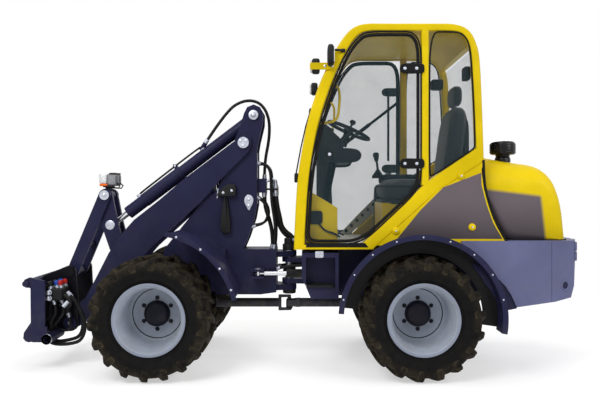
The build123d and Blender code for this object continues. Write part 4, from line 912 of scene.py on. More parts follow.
def seal_shape():
    """Left window seals, the screen's side strip and the door's sill strip."""
    shape = Shape()
    for outline in (DOOR_SEAL, QUARTER_SEAL):
        path = in_side_view(smooth(outline, 5, closed=True), CAB_OUT - 4)
        shape.loop(path, sizes().seal / MM / 2)
    shape.tube(in_side_view(smooth(SCREEN_SIDE, 5), 414), 8)
    shape.plate([(-440, 838), (-420, 866), (-40, 866), (-38, 838)], 462, 484, 3)
    return shape


def tread_shape():
    """Sill tread plate with a row of eyelets."""
    shape = Shape()
    shape.plate(smooth(TREAD, 4, closed=True), 406, 416, 2)
    spots = in_side_view(np.linspace((-352, 886), (-610, 1136), 7), 405.5)
    eyelet = turned(EYELET, (0, 0, 0), (0, -1, 0), 20)
    shape.copies(eyelet[None] + spots[:, None, None], around=True, finish=1)
    return shape


def wiper_shape():
    """Screen wiper: arm, blade, link and motor."""
    shape = Shape()
    shape.tube([(40, 60, 1300), (0, 20, 1520), (-38, -20, 1690)], 5)
    shape.tube([(-66, -190, 1772), (-62, -100, 1772), (-62, 100, 1772), (-66, 190, 1772)], 6, UP)
    shape.tube([(-62, -20, 1770), (-38, -20, 1690)], 4)
    shape.box((18, 30, 1262), (48, 100, 1330), 5)
    return shape


class LOADER_OT_cab_frame(bpy.types.Operator):
    """Build the rounded cab frame, its crowned roof, seals, bolt caps, grab bars, tread and wiper"""

    bl_idname = "loader.cab_frame"
    bl_label = "Cab frame"

    def execute(self, context):
        outer, inner = smooth(FRAME_OUTER), smooth(FRAME_INNER)
        for side, sign in SIDES.items():
            cab_side_shape(outer, inner).build(
                f"cab_frame_{side}", "rear_body", "yellow_paint", ["yellow_paint", "bright_steel"], 40,
                [f"cab_side_{side}"], sign < 0,
            )
            seal_shape().build(
                f"window_seals_{side}", "rear_body", "black_plastic", ["rubber"], 60, (), sign < 0
            )
        tread_shape().build("sill_tread", "rear_body", "bright_steel", ["alloy", "rubber"], 40, (), True)
        roof = Shape()
        high, low = outer[ROOF_ROWS] - (0, 3), inner[ROOF_ROWS] + (0, 2)
        roof.grid(band(high, low, -424, 424, 9.0, 36), around=True, ends=True)
        roof.build("cab_top", "rear_body", "yellow_paint", ["yellow_paint"], 40, ["cab_roof"])
        wiper_shape().build("screen_wiper", "rear_body", "black_plastic", ["black_plastic"])
        return {"FINISHED"}


HINGE_HEIGHTS = (1380, 1995)
HINGE_PLATE = [
    (-642, 0), (-648, 22), (-672, 34), (-720, 34), (-790, 32), (-803, 20), (-803, -20), (-790, -32),
    (-720, -34), (-672, -34), (-648, -22),
]
LATCH = [
    (-120, 1396), (-118, 1436), (-122, 1476), (-150, 1484), (-330, 1484), (-378, 1474), (-398, 1450),
    (-400, 1432), (-392, 1408), (-366, 1392), (-320, 1388), (-150, 1388),
]


LATCH_KNOB = [(0, 484), (17, 484), (20, 481), (20, 470)]
DOOR_STAY = [(-313, 440, 1556), (-540, 440, 1731), (-756, 440, 1898)]


def door_shape(outline):
    """Left door: glazing frame, two bolted hinge plates, the latch and its knob."""
    shape = Shape()
    rim = band(drawn_in(outline, 7.0), drawn_in(outline, 27.0), 452, 477, 4.0, 16)
    shape.grid(rim, around=True, along=True)
    hinge = smooth(HINGE_PLATE, 4, closed=True)
    for height in HINGE_HEIGHTS:
        shape.plate(hinge + (0, height), 479, 491, 4)
        shape.bolts([(-676, 490, height), (-752, 490, height)], LEFT, 0.75, 1)
    latch = smooth(LATCH, 4, closed=True)
    shape.plate(latch, 416, 450, 7)
    shape.plate(drawn_in(latch, 16), 410, 418, 3, 2)
    shape.box((-250, 405, 1418), (-160, 415, 1452), 4)
    shape.plate([(-150, 1404), (-150, 1438), (-98, 1438), (-98, 1404)], 440, 458, 3)
    shape.turn(LATCH_KNOB, (-190, 0, 1440), LEFT, 28)
    shape.bolts([(-190, 483, 1440)], LEFT, 0.8, 1)
    return shape


class LOADER_OT_doors(bpy.types.Operator):
    """Build the thin glazed doors with hinges and latches, and the right door's stay"""

    bl_idname = "loader.doors"
    bl_label = "Doors"

    def execute(self, context):
        outline = smooth(DOOR_SEAL, 5, closed=True)
        for side, sign in SIDES.items():
            shape = door_shape(outline)
            if side == "right":
                shape.tube([(-690, 440, 1440), (-690, 440, 1700), (-690, 440, 1985)], 9)
                shape.tube(DOOR_STAY[:2], 15)
                shape.tube(DOOR_STAY[1:], 11)
            shape.build(
                f"door_frame_{side}", f"door_{side}", "black_paint",
                ["rubber", "bright_steel", "grey_plastic"], 40, [f"door_{side}"], sign < 0,
            )
            pane = Shape()
            pane.plate(drawn_in(outline, 12.0), 459, 464, 1)
            pane.build(
                f"door_pane_{side}", f"door_{side}", "glass", ["glass"], 40, [f"door_glass_{side}"], sign < 0
            )
        return {"FINISHED"}


# Hood

HOOD_TOP = [
    (-1206, 1441), (-1280, 1424), (-1351, 1408), (-1451, 1394), (-1530, 1382), (-1590, 1362), (-1640, 1322),
    (-1680, 1262), (-1706, 1180), (-1724, 1090), (-1734, 980), (-1741, 886),
]
HOOD_LOW = [
    (-1204, 1230), (-1204, 1212), (-1222, 1168), (-1246, 1108), (-1268, 1052), (-1300, 988), (-1330, 934),
    (-1356, 888), (-1450, 887), (-1540, 886), (-1640, 886), (-1700, 886),
]
HOOD_ROUND = [200, 196, 190, 180, 165, 140, 110, 85, 65, 52, 46, 42]
HOOD_WIDE = 429.0
HOOD_WALL = 0.008
CAP_SECTION = [
    (0, 1549), (46, 1548), (70, 1543), (82, 1535), (86, 1524), (87, 1490), (86, 1464), (82, 1456),
    (74, 1453), (50, 1452), (46, 1440), (50, 1432), (53, 1424), (53, 1400), (0, 1400),
]
CAP_PLACE = (-1398, 200, 0)


def hood_shape():
    """Hood: the top line inset by R(1 - sin a) and carried out to W - R + R cos a, then a flat flank."""
    shape = Shape()
    top = smooth(HOOD_TOP, 5)
    low = smooth(HOOD_LOW, 5)
    radius = smooth(np.array(HOOD_ROUND, dtype=float)[:, None], 5)
    slope = np.gradient(top, axis=0)
    slope /= np.linalg.norm(slope, axis=1)[:, None]
    inward = np.stack([-slope[:, 1], slope[:, 0]], axis=-1)
    angle = np.linspace(np.pi / 2, 0, 10)[None]
    flat = top[:, None] + inward[:, None] * (radius * (1 - np.sin(angle)))[..., None]
    y = HOOD_WIDE - radius + radius * np.cos(angle)
    share = np.linspace(0, 1, 8)[None, 1:, None]
    flank = flat[:, -1:] * (1 - share) + low[:, None] * share
    side = np.concatenate([flat, flank], axis=1)
    wide = np.concatenate([y, np.full(flank.shape[:2], HOOD_WIDE)], axis=1)
    half = np.stack([side[..., 0], wide, side[..., 1]], axis=-1)
    other = half[:, ::-1] * (1, -1, 1)
    shape.grid(np.concatenate([other, half], axis=1))
    return shape


def louvre_shape():
    """Tail louvres: one sloping plate repeated up the back of the hood, and the hood's pull."""
    shape = Shape()
    for step in range(6):
        z = 940 + 38 * step
        slat = [(-1712, z), (-1752, z - 12), (-1757, z - 4), (-1754, z + 4), (-1712, z + 20)]
        shape.plate(slat, -280, 280, 3)
    shape.box((-1736, -90, 1182), (-1712, 90, 1212), 6, 1)
    pull = [(-1716, -60, 1197), (-1744, -58, 1197), (-1744, 58, 1197), (-1716, 60, 1197)]
    shape.tube(smooth(pull), 6, UP, finish=1)
    return shape


def cap_shape():
    """Air cleaner cap: a turned section with raised rings round it."""
    shape = Shape()
    shape.turn(CAP_SECTION, CAP_PLACE, UP, 48)
    for step in range(4):
        z = 1470 + 16 * step
        shape.turn([(87.5, z - 4), (88.5, z), (87.5, z + 4)], CAP_PLACE, UP, 48)
    return shape


class LOADER_OT_hood(bpy.types.Operator):
    """Build the rounded engine hood, its louvres, seals and the air cleaner cap"""

    bl_idname = "loader.hood"
    bl_label = "Hood"

    def execute(self, context):
        piece = hood_shape().build("hood_shell", "hood", "yellow_paint", ["hood_paint"], 50, ["hood"])
        wall = piece.modifiers.new("wall", "SOLIDIFY")
        wall.thickness = HOOD_WALL
        wall.offset = -1
        louvre_shape().build("hood_louvres", "hood", "yellow_paint", ["yellow_paint", "black_plastic"])
        cap_shape().build("air_cap", "hood", "black_plastic", ["gloss_black"], 40, ["air_cleaner"])
        seal = Shape()
        edge = smooth(np.array(SEAM) / MM, 6) - (6, 0)
        for y in (424, -424):
            seal.tube(in_side_view(edge, np.sign(y) * 473), 11)
            seal.tube([(-1360, y, 882), (-1550, y, 881), (-1715, y, 881)], 7)
        seal.tube([(-1742, -424, 881), (-1742, 0, 881), (-1742, 424, 881)], 6, UP)
        seal.build("hood_seals", "rear_body", "black_plastic", ["rubber"], 60)
        return {"FINISHED"}


# Operator's place

PAD_VOXEL = 0.006
PAD_PRESSURE = 4
PAD_FRAMES = 20
PAD_SWELL = 0.012


def swell(piece, limit):
    """Stuff a pad: blow it up as cloth and cap how far each point moves."""
    first = np.empty(len(piece.data.vertices) * 3)
    piece.data.vertices.foreach_get("co", first)
    first = first.reshape(-1, 3)
    cloth = piece.modifiers.new("cloth", "CLOTH")
    cloth.settings.quality = 6
    cloth.settings.mass = 0.3
    cloth.settings.use_pressure = True
    cloth.settings.uniform_pressure_force = PAD_PRESSURE
    cloth.settings.effector_weights.gravity = 0
    cloth.settings.tension_stiffness = 40
    cloth.settings.bending_stiffness = 2
    for number in range(1, PAD_FRAMES + 1):
        bpy.context.scene.frame_set(number)
    blown = piece.evaluated_get(bpy.context.evaluated_depsgraph_get())
    ready = blown.to_mesh()
    last = np.empty(len(ready.vertices) * 3)
    ready.vertices.foreach_get("co", last)
    blown.to_mesh_clear()
    piece.modifiers.clear()
    bpy.context.scene.frame_set(1)
    move = last.reshape(-1, 3) - first
    length = np.linalg.norm(move, axis=1)[:, None]
    move *= np.minimum(1, limit / np.maximum(length, 1e-9))
    piece.data.vertices.foreach_set("co", (first + move).ravel())
    piece.data.update()


def pad(name, grid, replaces):
    """Padded cloth piece: remeshed, stuffed and smoothed once."""
    shape = Shape()
    shape.grid(grid, around=True)
    piece = shape.build(name, "rear_body", "seat_cloth", ["seat_cloth"], 180, replaces)
    mesh = piece.modifiers.new("even", "REMESH")
    mesh.mode = "VOXEL"
    mesh.voxel_size = PAD_VOXEL
    mesh.use_smooth_shade = True
    ready = bpy.data.meshes.new_from_object(piece.evaluated_get(bpy.context.evaluated_depsgraph_get()))
    piece.modifiers.clear()
    piece.data = ready
    ready.shade_smooth()
    swell(piece, PAD_SWELL)
    soft = piece.modifiers.new("soft", "SUBSURF")
    soft.levels = 1
    soft.render_levels = 1
    return piece


def piping(shape, low, high, power, height):
    """Piping round a rounded pad at one share of its height."""
    low, high = np.asarray(low, dtype=float), np.asarray(high, dtype=float)
    p, q = soft_power(np.linspace(0, 2 * np.pi, 64, endpoint=False) + 0.01, power)
    reach = (1 - abs(height) ** power) ** (1 / power)
    unit = np.stack([reach * p, reach * q, np.full(64, height)], axis=-1)
    shape.loop((low + high) / 2 + unit * (high - low) / 2, 4.5, UP)


class LOADER_OT_seat(bpy.types.Operator):
    """Build the padded seat with its piping, shell and slide"""

    bl_idname = "loader.seat"
    bl_label = "Seat"

    def execute(self, context):
        low, high = (-985, -232, 1130), (-548, 232, 1276)
        pad("seat_pad", rounded_box(low, high, 3.6, 32, 48), ["seat_cushion"])
        lean = rounded_box((-60, -222, 0), (60, 222, 620), 3.6, 32, 48)
        tilt = np.stack([-0.13 * lean[..., 2], 0 * lean[..., 2], 0 * lean[..., 2]], axis=-1)
        pad("seat_back_pad", lean + tilt + (-1040, 0, 1190), ["seat_back"])
        pad("head_pad", rounded_box((-1148, -130, 1806), (-1078, 130, 1954), 3.2, 20, 32), ())
        trim = Shape()
        piping(trim, low, high, 3.6, 0.45)
        trim.box((-1000, -236, 1106), (-560, 236, 1146), 7, 1)
        trim.box((-1178, -190, 1260), (-1128, 190, 1720), 5, 1)
        for y in (-60, 60):
            trim.tube([(-1112, y, 1720), (-1114, y, 1840)], 8, finish=2)
        trim.box((-940, -180, 1040), (-600, 180, 1112), 6, 1)
        trim.build(
            "seat_trim", "rear_body", "black_plastic", ["rubber", "black_plastic", "bright_steel"], 40
        )
        return {"FINISHED"}


HUB = np.array([-345.0, 0, 1640])
LEAN = np.radians(24)
HUB_AXIS = np.array([-np.sin(LEAN), 0, np.cos(LEAN)])
HUB_AHEAD = np.array([np.cos(LEAN), 0, np.sin(LEAN)])
HUB_SECTION = [
    (0, 8), (26, 8), (36, 4), (40, -4), (40, -18), (30, -26), (24, -34), (24, -60), (30, -70), (34, -120),
]
KNOB_SECTION = [(0, 52), (14, 50), (21, 42), (22, 32), (16, 22), (8, 16), (8, 0)]
DIAL = [(0, -4), (34, -4), (34, 4), (40, 5), (43, 2), (43, -20)]
DIAL_FACE = (-0.65, 0, 0.76)
PEDAL = [(-200, 930), (-212, 938), (-300, 902), (-296, 892)]
STICK_BOOT = [
    (0, 1372), (11, 1371), (13, 1362), (24, 1352), (22, 1346), (34, 1338), (32, 1332), (44, 1322),
    (46, 1300),
]
STICK_GRIP = [(0, 70), (15, 69), (23, 60), (24, 44), (19, 26), (16, 8), (12, 0), (0, 0)]
FOOT_WALL = [(-38, 853), (-44, 1196), (-66, 1198), (-244, 1092), (-246, 853)]
DASH = [
    (-112, 853), (-112, 853), (-112, 1100), (-112, 1500), (-122, 1640), (-140, 1676), (-172, 1668),
    (-232, 1620), (-296, 1560), (-306, 1512), (-290, 1492), (-222, 1452), (-214, 1300), (-222, 1100),
    (-238, 853), (-238, 853),
]


def wheel_shape():
    """Steering wheel: a ring square to the leaning column, three spokes, hub, boot and spinner knob."""
    shape = Shape()
    turn = np.linspace(0, 2 * np.pi, 72, endpoint=False)[:, None]
    rim = HUB + 156 * (np.cos(turn) * LEFT + np.sin(turn) * HUB_AHEAD)
    shape.loop(rim, 13.5, HUB_AXIS, 14)
    for angle in np.radians((0, 180, 270)):
        aim = np.cos(angle) * np.array([0, 1.0, 0]) + np.sin(angle) * HUB_AHEAD
        reach = np.array([20, 60, 110, 152])[:, None]
        sag = np.array([-14, -16, -8, 0])[:, None]
        shape.tube(HUB + reach * aim + sag * HUB_AXIS, (13, 10, 9, 9), HUB_AXIS)
    shape.turn(HUB_SECTION, HUB, HUB_AXIS, 36)
    knob = HUB + (0, 152, 0) + 12 * HUB_AXIS
    shape.turn(KNOB_SECTION, knob, HUB_AXIS, 28)
    return shape


def dash_shape():
    """Dash: a rounded body with two dials, switches, a lever and two pedals."""
    shape = Shape()
    shape.plate(smooth(DASH, 5, closed=True), -130, 130, 26)
    for y in (-62, 62):
        shape.turn(DIAL, (-200, y, 1652), DIAL_FACE, 36, 1)
    shape.box((-238, -22, 1622), (-196, 22, 1656), 5, 1)
    for y in (-86, -48, 48, 86):
        shape.box((-300, y - 14, 1512), (-288, y + 14, 1540), 5, 2)
    shape.tube([(-260, 70, 1540), (-300, 150, 1580), (-320, 205, 1592)], (7, 6, 9), UP)
    for y in (-190, 150):
        shape.plate(PEDAL, y, y + 60, 3)
        shape.tube([(-216, y + 30, 924), (-150, y + 30, 870), (-125, y + 30, 856)], 9)
    return shape


def console_shape():
    """Side console: a box with an arm rest, a joystick in its boot and two switches."""
    shape = Shape()
    shape.box((-900, -340, 853), (-560, -245, 1256), 9)
    shape.box((-905, -340, 1250), (-596, -245, 1330), 4.5, 1)
    shape.turn(STICK_BOOT, (-590, -292, 0), UP, 32, 1)
    shape.tube([(-590, -292, 1364), (-584, -292, 1410), (-578, -292, 1440)], 9)
    shape.turn(STICK_GRIP, (-580, -292, 1430), (0.1, 0, 1), 28)
    for y in (-318, -266):
        shape.box((-690, y - 12, 1326), (-650, y + 12, 1340), 5, 2)
    return shape


def furniture_shape():
    """Cab furniture: two boxes at the rear, a floor plate, a socket with its lead and the foot wall."""
    shape = Shape()
    shape.box((-1128, 300, 1940), (-1086, 400, 2030), 6)
    shape.box((-1090, -330, 1980), (-1000, -250, 2060), 6)
    shape.plate([(-250, 853), (-460, 853), (-460, 859), (-250, 859)], -400, 400, 2, 1)
    shape.box((-146, 404, 984), (-62, 418, 1072), 5)
    shape.tube(smooth([(-120, 411, 990), (-160, 411, 940), (-220, 411, 926), (-262, 411, 900)]), 6)
    shape.plate(FOOT_WALL, -404, 404, 8, 2)
    return shape


class LOADER_OT_controls(bpy.types.Operator):
    """Build the steering wheel, dash, pedals, the console with its joystick and the cab's furniture"""

    bl_idname = "loader.controls"
    bl_label = "Controls"

    def execute(self, context):
        wheel_shape().build(
            "steering_ring", "rear_body", "black_plastic", ["black_plastic"], 40, ["steering_wheel"]
        )
        dash_shape().build(
            "dash_body", "rear_body", "black_plastic", ["black_plastic", "gloss_black", "grey_plastic"], 40,
            ["dash_console"],
        )
        console_shape().build(
            "console_body", "rear_body", "black_plastic", ["black_plastic", "rubber", "grey_plastic"], 40,
            ["control_console"],
        )
        furniture_shape().build(
            "cab_furniture", "rear_body", "black_plastic", ["rubber", "alloy", "yellow_paint"]
        )
        return {"FINISHED"}


# Lamps and mirrors

CAB_BOXES = [  # low corner, high corner, power, finish
    ((-225, 480.3, 1988), (-62, 491, 2032), 12, 0),
    ((-128, 412, 1966), (-74, 490, 2064), 4.5, 1),
    ((-78, 420, 1974), (-62, 484, 2056), 5, 2),
    ((-214, 499, 1996), (-172, 629, 2128), 4, 1),
    ((-217, 508, 2006), (-212, 620, 2118), 9, 3),
    ((-292, 480.3, 2098), (-262, 494, 2122), 6, 1),
]
MIRROR_ARM = [(-278, 490, 2110), (-240, 500, 2112), (-196, 504, 2110), (-188, 540, 2080)]
TAIL_RIM = [(31, -4), (31, 10), (29, 14), (26, 14), (24, 11), (24, 8)]
TAIL_LENS = [(24.5, 8), (20, 10), (10, 11.5), (0, 12)]


def front_lamp_shape():
    """Front lamp pair: lens, amber strip, finned back, cap and lead each, on one bracket."""
    shape = Shape()
    for y in (6, -70):
        shape.box((1388, y, 1252), (1447, y + 64, 1331), 5, 1)
        shape.box((1384, y + 1, 1236), (1444, y + 63, 1254), 5, 2)
        shape.box((1322, y + 2, 1238), (1392, y + 62, 1326), 5, 0)
        for x in 1328 + 8 * np.arange(7):
            shape.box((x, y - 0.5, 1246), (x + 3.5, y + 64.5, 1318), 8, 5, 8, 12)
        shape.box((1322, y + 4, 1322), (1376, y + 60, 1333), 4, 3)
        lead = [(1326, y + 32, 1262), (1306, y + 20, 1240), (1322, y + 8, 1222), (1376, y + 2, 1226)]
        shape.tube(lead, 5, finish=3)
    shape.box((1378, -40, 1211), (1410, 40, 1245), 7, 3)
    shape.box((1366, -66, 1228), (1420, 66, 1240), 7, 3)
    shape.bolts([(1394, y, 1240) for y in (-52, 52)], UP, 0.7, 4)
    return shape


def cab_lamp_shape():
    """Work lamps and mirrors on both sides of the cab."""
    shape = Shape()
    for sign in (1, -1):
        side = np.array([1, sign, 1])
        for low, high, power, finish in CAB_BOXES:
            shape.grid(rounded_box(low, high, power) * side, around=True, finish=finish)
        shape.grid(pipe(smooth(MIRROR_ARM), 8, UP) * side, around=True, ends=True, finish=1)
        shape.bolts([np.array((x, 490, 2010)) * side for x in (-205, -160)], (0, sign, 0), 0.7, 4)
    return shape


def tail_lamp_shape():
    """Two round lamps in each rear corner of the tail."""
    shape = Shape()
    for sign in (1, -1):
        out = (-0.894, 0.447 * sign, 0)
        for z, finish in ((774, 1), (838, 2)):
            shape.turn(TAIL_RIM, (-1808, 404 * sign, z), out, 36)
            shape.turn(TAIL_LENS, (-1808, 404 * sign, z), out, 36, finish)
    return shape


class LOADER_OT_lamps(bpy.types.Operator):
    """Build the front lamp pair, the work lamps, mirrors and tail lamps"""

    bl_idname = "loader.lamps"
    bl_label = "Lamps"

    def execute(self, context):
        front_lamp_shape().build(
            "front_lamps", "tilt_lever", "lamp_plastic",
            ["grey_plastic", "lamp_plastic", "amber_plastic", "black_plastic", "bright_steel", "alloy"], 40,
            ["head_lamps"],
        )
        cab_lamp_shape().build(
            "cab_lamps_and_mirrors", "rear_body", "black_plastic",
            ["yellow_paint", "black_plastic", "lamp_plastic", "rod_chrome", "bright_steel"], 40,
            ["cab_fittings"],
        )
        tail_lamp_shape().build(
            "rear_lamps", "rear_body", "lamp_plastic",
            ["grey_navy_paint", "red_plastic", "amber_plastic"], 40, ["tail_lamps"],
        )
        return {"FINISHED"}


# Loader linkage

PIVOT = (85, 0, 0)
TILT_ANCHOR = np.array([335.0, 1739])
ARM_PIVOT = np.array([404.0, 1542])
ROD_PIN = np.array([1363.0, 959])
LINK_TOP = np.array([1394.0, 1173])
LOCK_TUBE = np.array([1685.0, 218])
BARREL_RUN = (ROD_PIN - TILT_ANCHOR) / np.linalg.norm(ROD_PIN - TILT_ANCHOR)
BARREL_UP = np.array([-BARREL_RUN[1], BARREL_RUN[0]])
VALVE = [
    (455, 1168), (455, 1240), (470, 1250), (528, 1250), (586, 1186), (590, 1172), (580, 1165), (470, 1162),
]
HANDLE = [
    (536, 1180), (520, 1180), (510, 1090), (496, 1010), (494, 930), (502, 906), (540, 900), (562, 912),
    (568, 960), (560, 1040), (548, 1100),
]
DROP = [
    (368, 1058), (352, 1090), (336, 1120), (335, 1150), (350, 1172), (368, 1177), (386, 1172), (401, 1150),
    (400, 1120), (384, 1090),
]


def by_barrel(along, up):
    """Side-view point beside the tilt barrel: a distance from its anchor and a height over its axis."""
    return TILT_ANCHOR + along * BARREL_RUN + up * BARREL_UP


PIVOT_BOOT = [(0, 862), (30, 862), (37, 858), (38, 822), (47, 818), (49, 812), (49, 776), (0, 776)]
PIVOT_SLEEVE = [(44, 602), (47, 610), (44, 618), (47, 626), (44, 634), (47, 642), (44, 650)]
PIVOT_CAP = [(0, 520), (40, 518), (48, 512), (48, 470), (44, 464), (0, 462)]
SHAFT_BOOT = [(0, 426), (18, 424), (24, 412), (24, 358), (18, 346), (0, 344)]
STEER_PIN = [(0, 664), (20, 664), (25, 661), (26, 655)]
UNION = [(0, 1252), (11, 1252), (13, 1250), (13, 1236), (18, 1234), (18, 1222), (18, 1196), (14, 1192)]
PIPE_RUN = [(448, 64), (500, 66), (640, 66), (820, 64), (985, 62), (1008, 58), (1014, 44)]
PIPE_UNION = [(0, 24), (15, 24), (17, 22), (17, 8), (21, 6), (21, 0)]
COUPLERS = [  # x, y, z, finish
    (1622, 290, 545, 2), (1648, 290, 545, 3), (1622, 214, 545, 2), (1652, 214, 545, 3), (1688, 300, 540, 1),
    (1688, 220, 540, 1),
]
COUPLER_AIM = (0.15, 0.1, 0.98)
COUPLER_FOOT = [(13, -6), (16, 0), (16, 10), (13, 12), (13, 26), (0, 26)]
COUPLER_CAP = [(15, 22), (16, 26), (16, 46), (13, 51), (0, 52)]
PLUG = [(18, 0), (18, 14), (14, 16), (14, 34), (10, 36), (0, 36)]
NIPPLE = [(16, 0), (16, 16), (12, 18), (12, 34), (0, 34)]
NIPPLE_AIM = (-0.35, 0.15, -0.92)
NIPPLES = [(1640, 250, 462), (1680, 282, 462), (1612, 200, 360)]
SHORT_LEAD = [(1600, 300, 500), (1560, 306, 470), (1552, 300, 430), (1590, 280, 410), (1640, 270, 430)]
LOCK_RING = [(20, 386), (34, 386), (36, 383), (36, 372)]


def pin_cap(shape, place, y, radius, sign, height=4.0):
    """Pin head: a chamfered disc on one side."""
    x, z = place
    rim = [(radius - 1, height - 1.5), (radius, height - 3), (radius, -1)]
    shape.turn([(0, height), (radius - 5, height), *rim], (x, y * sign, z), (0, sign, 0), 40)


def tower_shape():
    """Tower details: pin heads, hand valve, drop plate, pivot boots and the loom's unions with elbows."""
    shape = Shape()
    for sign in (1, -1):
        axis = (0, sign, 0)
        pin_cap(shape, TILT_ANCHOR, 122, 35, sign)
        shape.bolts([(TILT_ANCHOR[0], 126 * sign, TILT_ANCHOR[1])], axis)
        shape.bolts(in_side_view(ring(*ARM_PIVOT, 22, 3, 0.5), 154 * sign), axis, 0.8)
    shape.plate(smooth(DROP, 4, closed=True), 110, 117, 2)
    shape.bolts([(368, 117, 1142), (368, 117, 1096)], LEFT, 0.9)
    shape.plate(smooth(VALVE, 4, closed=True), 110, 152, 6, 1)
    shape.plate(smooth(HANDLE, 4, closed=True), 112, 148, 9, 1)
    shape.plate([(596, 1150), (590, 1150), (582, 1220), (590, 1220)], 111, 114, 1)
    shape.bolts([(485, 152, 1205), (545, 152, 1190)], LEFT, 0.7)
    shape.turn(PIVOT_BOOT, PIVOT, UP, 40, 1)
    shape.turn(PIVOT_SLEEVE, PIVOT, UP, 40, 1)
    for sign in (1, -1):
        shape.turn(STEER_PIN, (300, 165 * sign, 0), UP, 28)
    shape.turn(PIVOT_CAP, PIVOT, UP, 40, 1)
    shape.turn(SHAFT_BOOT, PIVOT, UP, 32, 1)
    shape.box((166, -66, 1208), (252, 66, 1222), 10, 1)
    for x, y in ((182, 36), (196, 0), (182, -36)):
        shape.turn(UNION, (x, y, 0), UP, 12)
        shape.tube(smooth([(x, y, 1246), (x, y, 1278), (x + 20, y, 1290), (252, y, 1272)]), 9)
    return shape


def tilt_pipe_shape():
    """Steel pipe along the tilt barrel, with a union at each end and a clamp between."""
    shape = Shape()
    line = [by_barrel(along, up) for along, up in PIPE_RUN]
    shape.tube(in_side_view(smooth(line, 5), 0), 7, finish=1)
    for along in (444, 1014):
        x, z = by_barrel(along, 40)
        shape.turn(PIPE_UNION, (x, 0, z), (BARREL_UP[0], 0, BARREL_UP[1]), 12)
    x, z = by_barrel(675, 66)
    shape.box((x - 16, -16, z - 14), (x + 16, 16, z + 13), 5, 1)
    shape.bolts([(x, 15, z)], LEFT, 0.6)
    return shape


def coupler_shape():
    """Hitch couplers: blocks, capped couplers, plugs, short hoses and the rings of the lock tube."""
    shape = Shape()
    shape.box((1744, 186, 318), (1769, 334, 552), 9, 1)
    shape.box((1604, 184, 462), (1712, 318, 548), 7, 1)
    shape.box((1690, 200, 470), (1750, 300, 500), 8, 1)
    shape.box((1596, 164, 360), (1650, 230, 470), 7, 1)
    for *place, finish in COUPLERS:
        shape.turn(COUPLER_FOOT, place, COUPLER_AIM, 14)
        shape.turn(COUPLER_CAP, place, COUPLER_AIM, 20, finish)
    for z in (520, 482):
        shape.turn(PLUG, (1690, 316, z), LEFT, 12)
    for x, y, z in NIPPLES:
        shape.turn(NIPPLE, (x, y, z), NIPPLE_AIM, 12)
        run = [(x - 12, y + 5, z - 30), (x - 24, y + 10, z - 90), (x + 10, y + 6, z - 130), (1700, y, 262)]
        shape.tube(smooth(run), 9, finish=1)
    shape.tube(smooth(SHORT_LEAD), 10, finish=1)
    shape.tube([(1570, 306, 456), (1600, 318, 424)], 15)
    for sign in (1, -1):
        x, z = LOCK_TUBE
        shape.turn(LOCK_RING, (x, 0, z), (0, sign, 0), 36)
        shape.bolts([(1612, 174 * sign, 280)], (0, sign, 0))
    return shape


class LOADER_OT_linkage(bpy.types.Operator):
    """Build the pin heads, tower valve, tilt pipe, hitch couplers and pivot boots"""

    bl_idname = "loader.linkage"
    bl_label = "Linkage details"

    def execute(self, context):
        steel = ["bright_steel", "black_plastic"]
        tower_shape().build("tower_details", "front_body", "bright_steel", steel, 40)
        lever, link = Shape(), Shape()
        for sign in (1, -1):
            pin_cap(lever, ROD_PIN, 74, 35, sign, 1.6)
            link.bolts([(LINK_TOP[0], 108 * sign, LINK_TOP[1])], (0, sign, 0), 1.1)
        lever.build("lever_pin_heads", "tilt_lever", "bright_steel", ["bright_steel"], 40)
        link.build("link_pin_bolts", "link_pin", "bright_steel", ["bright_steel"], 40)
        tilt_pipe_shape().build("tilt_pipe", "tilt_barrel", "bright_steel", steel, 40)
        coupler_shape().build(
            "hitch_couplers", "hitch", "bright_steel", [*steel, "red_plastic", "blue_plastic"], 40
        )
        return {"FINISHED"}


# Fenders, frame and tail

def arc(axle_x, radius, angles):
    """Side-view points of an arc round an axle."""
    return np.stack([axle_x + radius * np.cos(angles), AXLE_Z + radius * np.sin(angles)], axis=-1)


ARCH_TURN = np.radians(np.linspace(6, 188, 60))
# black sheet between the fender lip and the tyre: painted shade inside the wheel arch
ARCH_SHADE_SHEET = np.concatenate([arc(REAR_AXLE_X, 506, ARCH_TURN), arc(REAR_AXLE_X, 404, ARCH_TURN)[::-1]])
ARCH_GUSSET = [
    (-1100, 740), (-1193, 704), (-1267, 646), (-1320, 593), (-1358, 534), (-1398, 446), (-1300, 426),
    (-1255, 520), (-1180, 620),
]
REAR_BOLTS = arc(REAR_AXLE_X, 517, np.radians(np.arange(14, 181, 19)))
FRONT_BOLTS = arc(FRONT_AXLE_X, 545, np.radians((108, 126, 144, 160)))
TAIL_EYE = [(23, 1), (26, 6), (31, 7), (35, 2), (35, -4)]
TOW_CHEEK = [(-1780, 560), (-1836, 566), (-1840, 596), (-1836, 626), (-1790, 634)]
TOW_PIN = [(0, 58), (14, 57), (15, 52), (15, -52), (0, -56)]


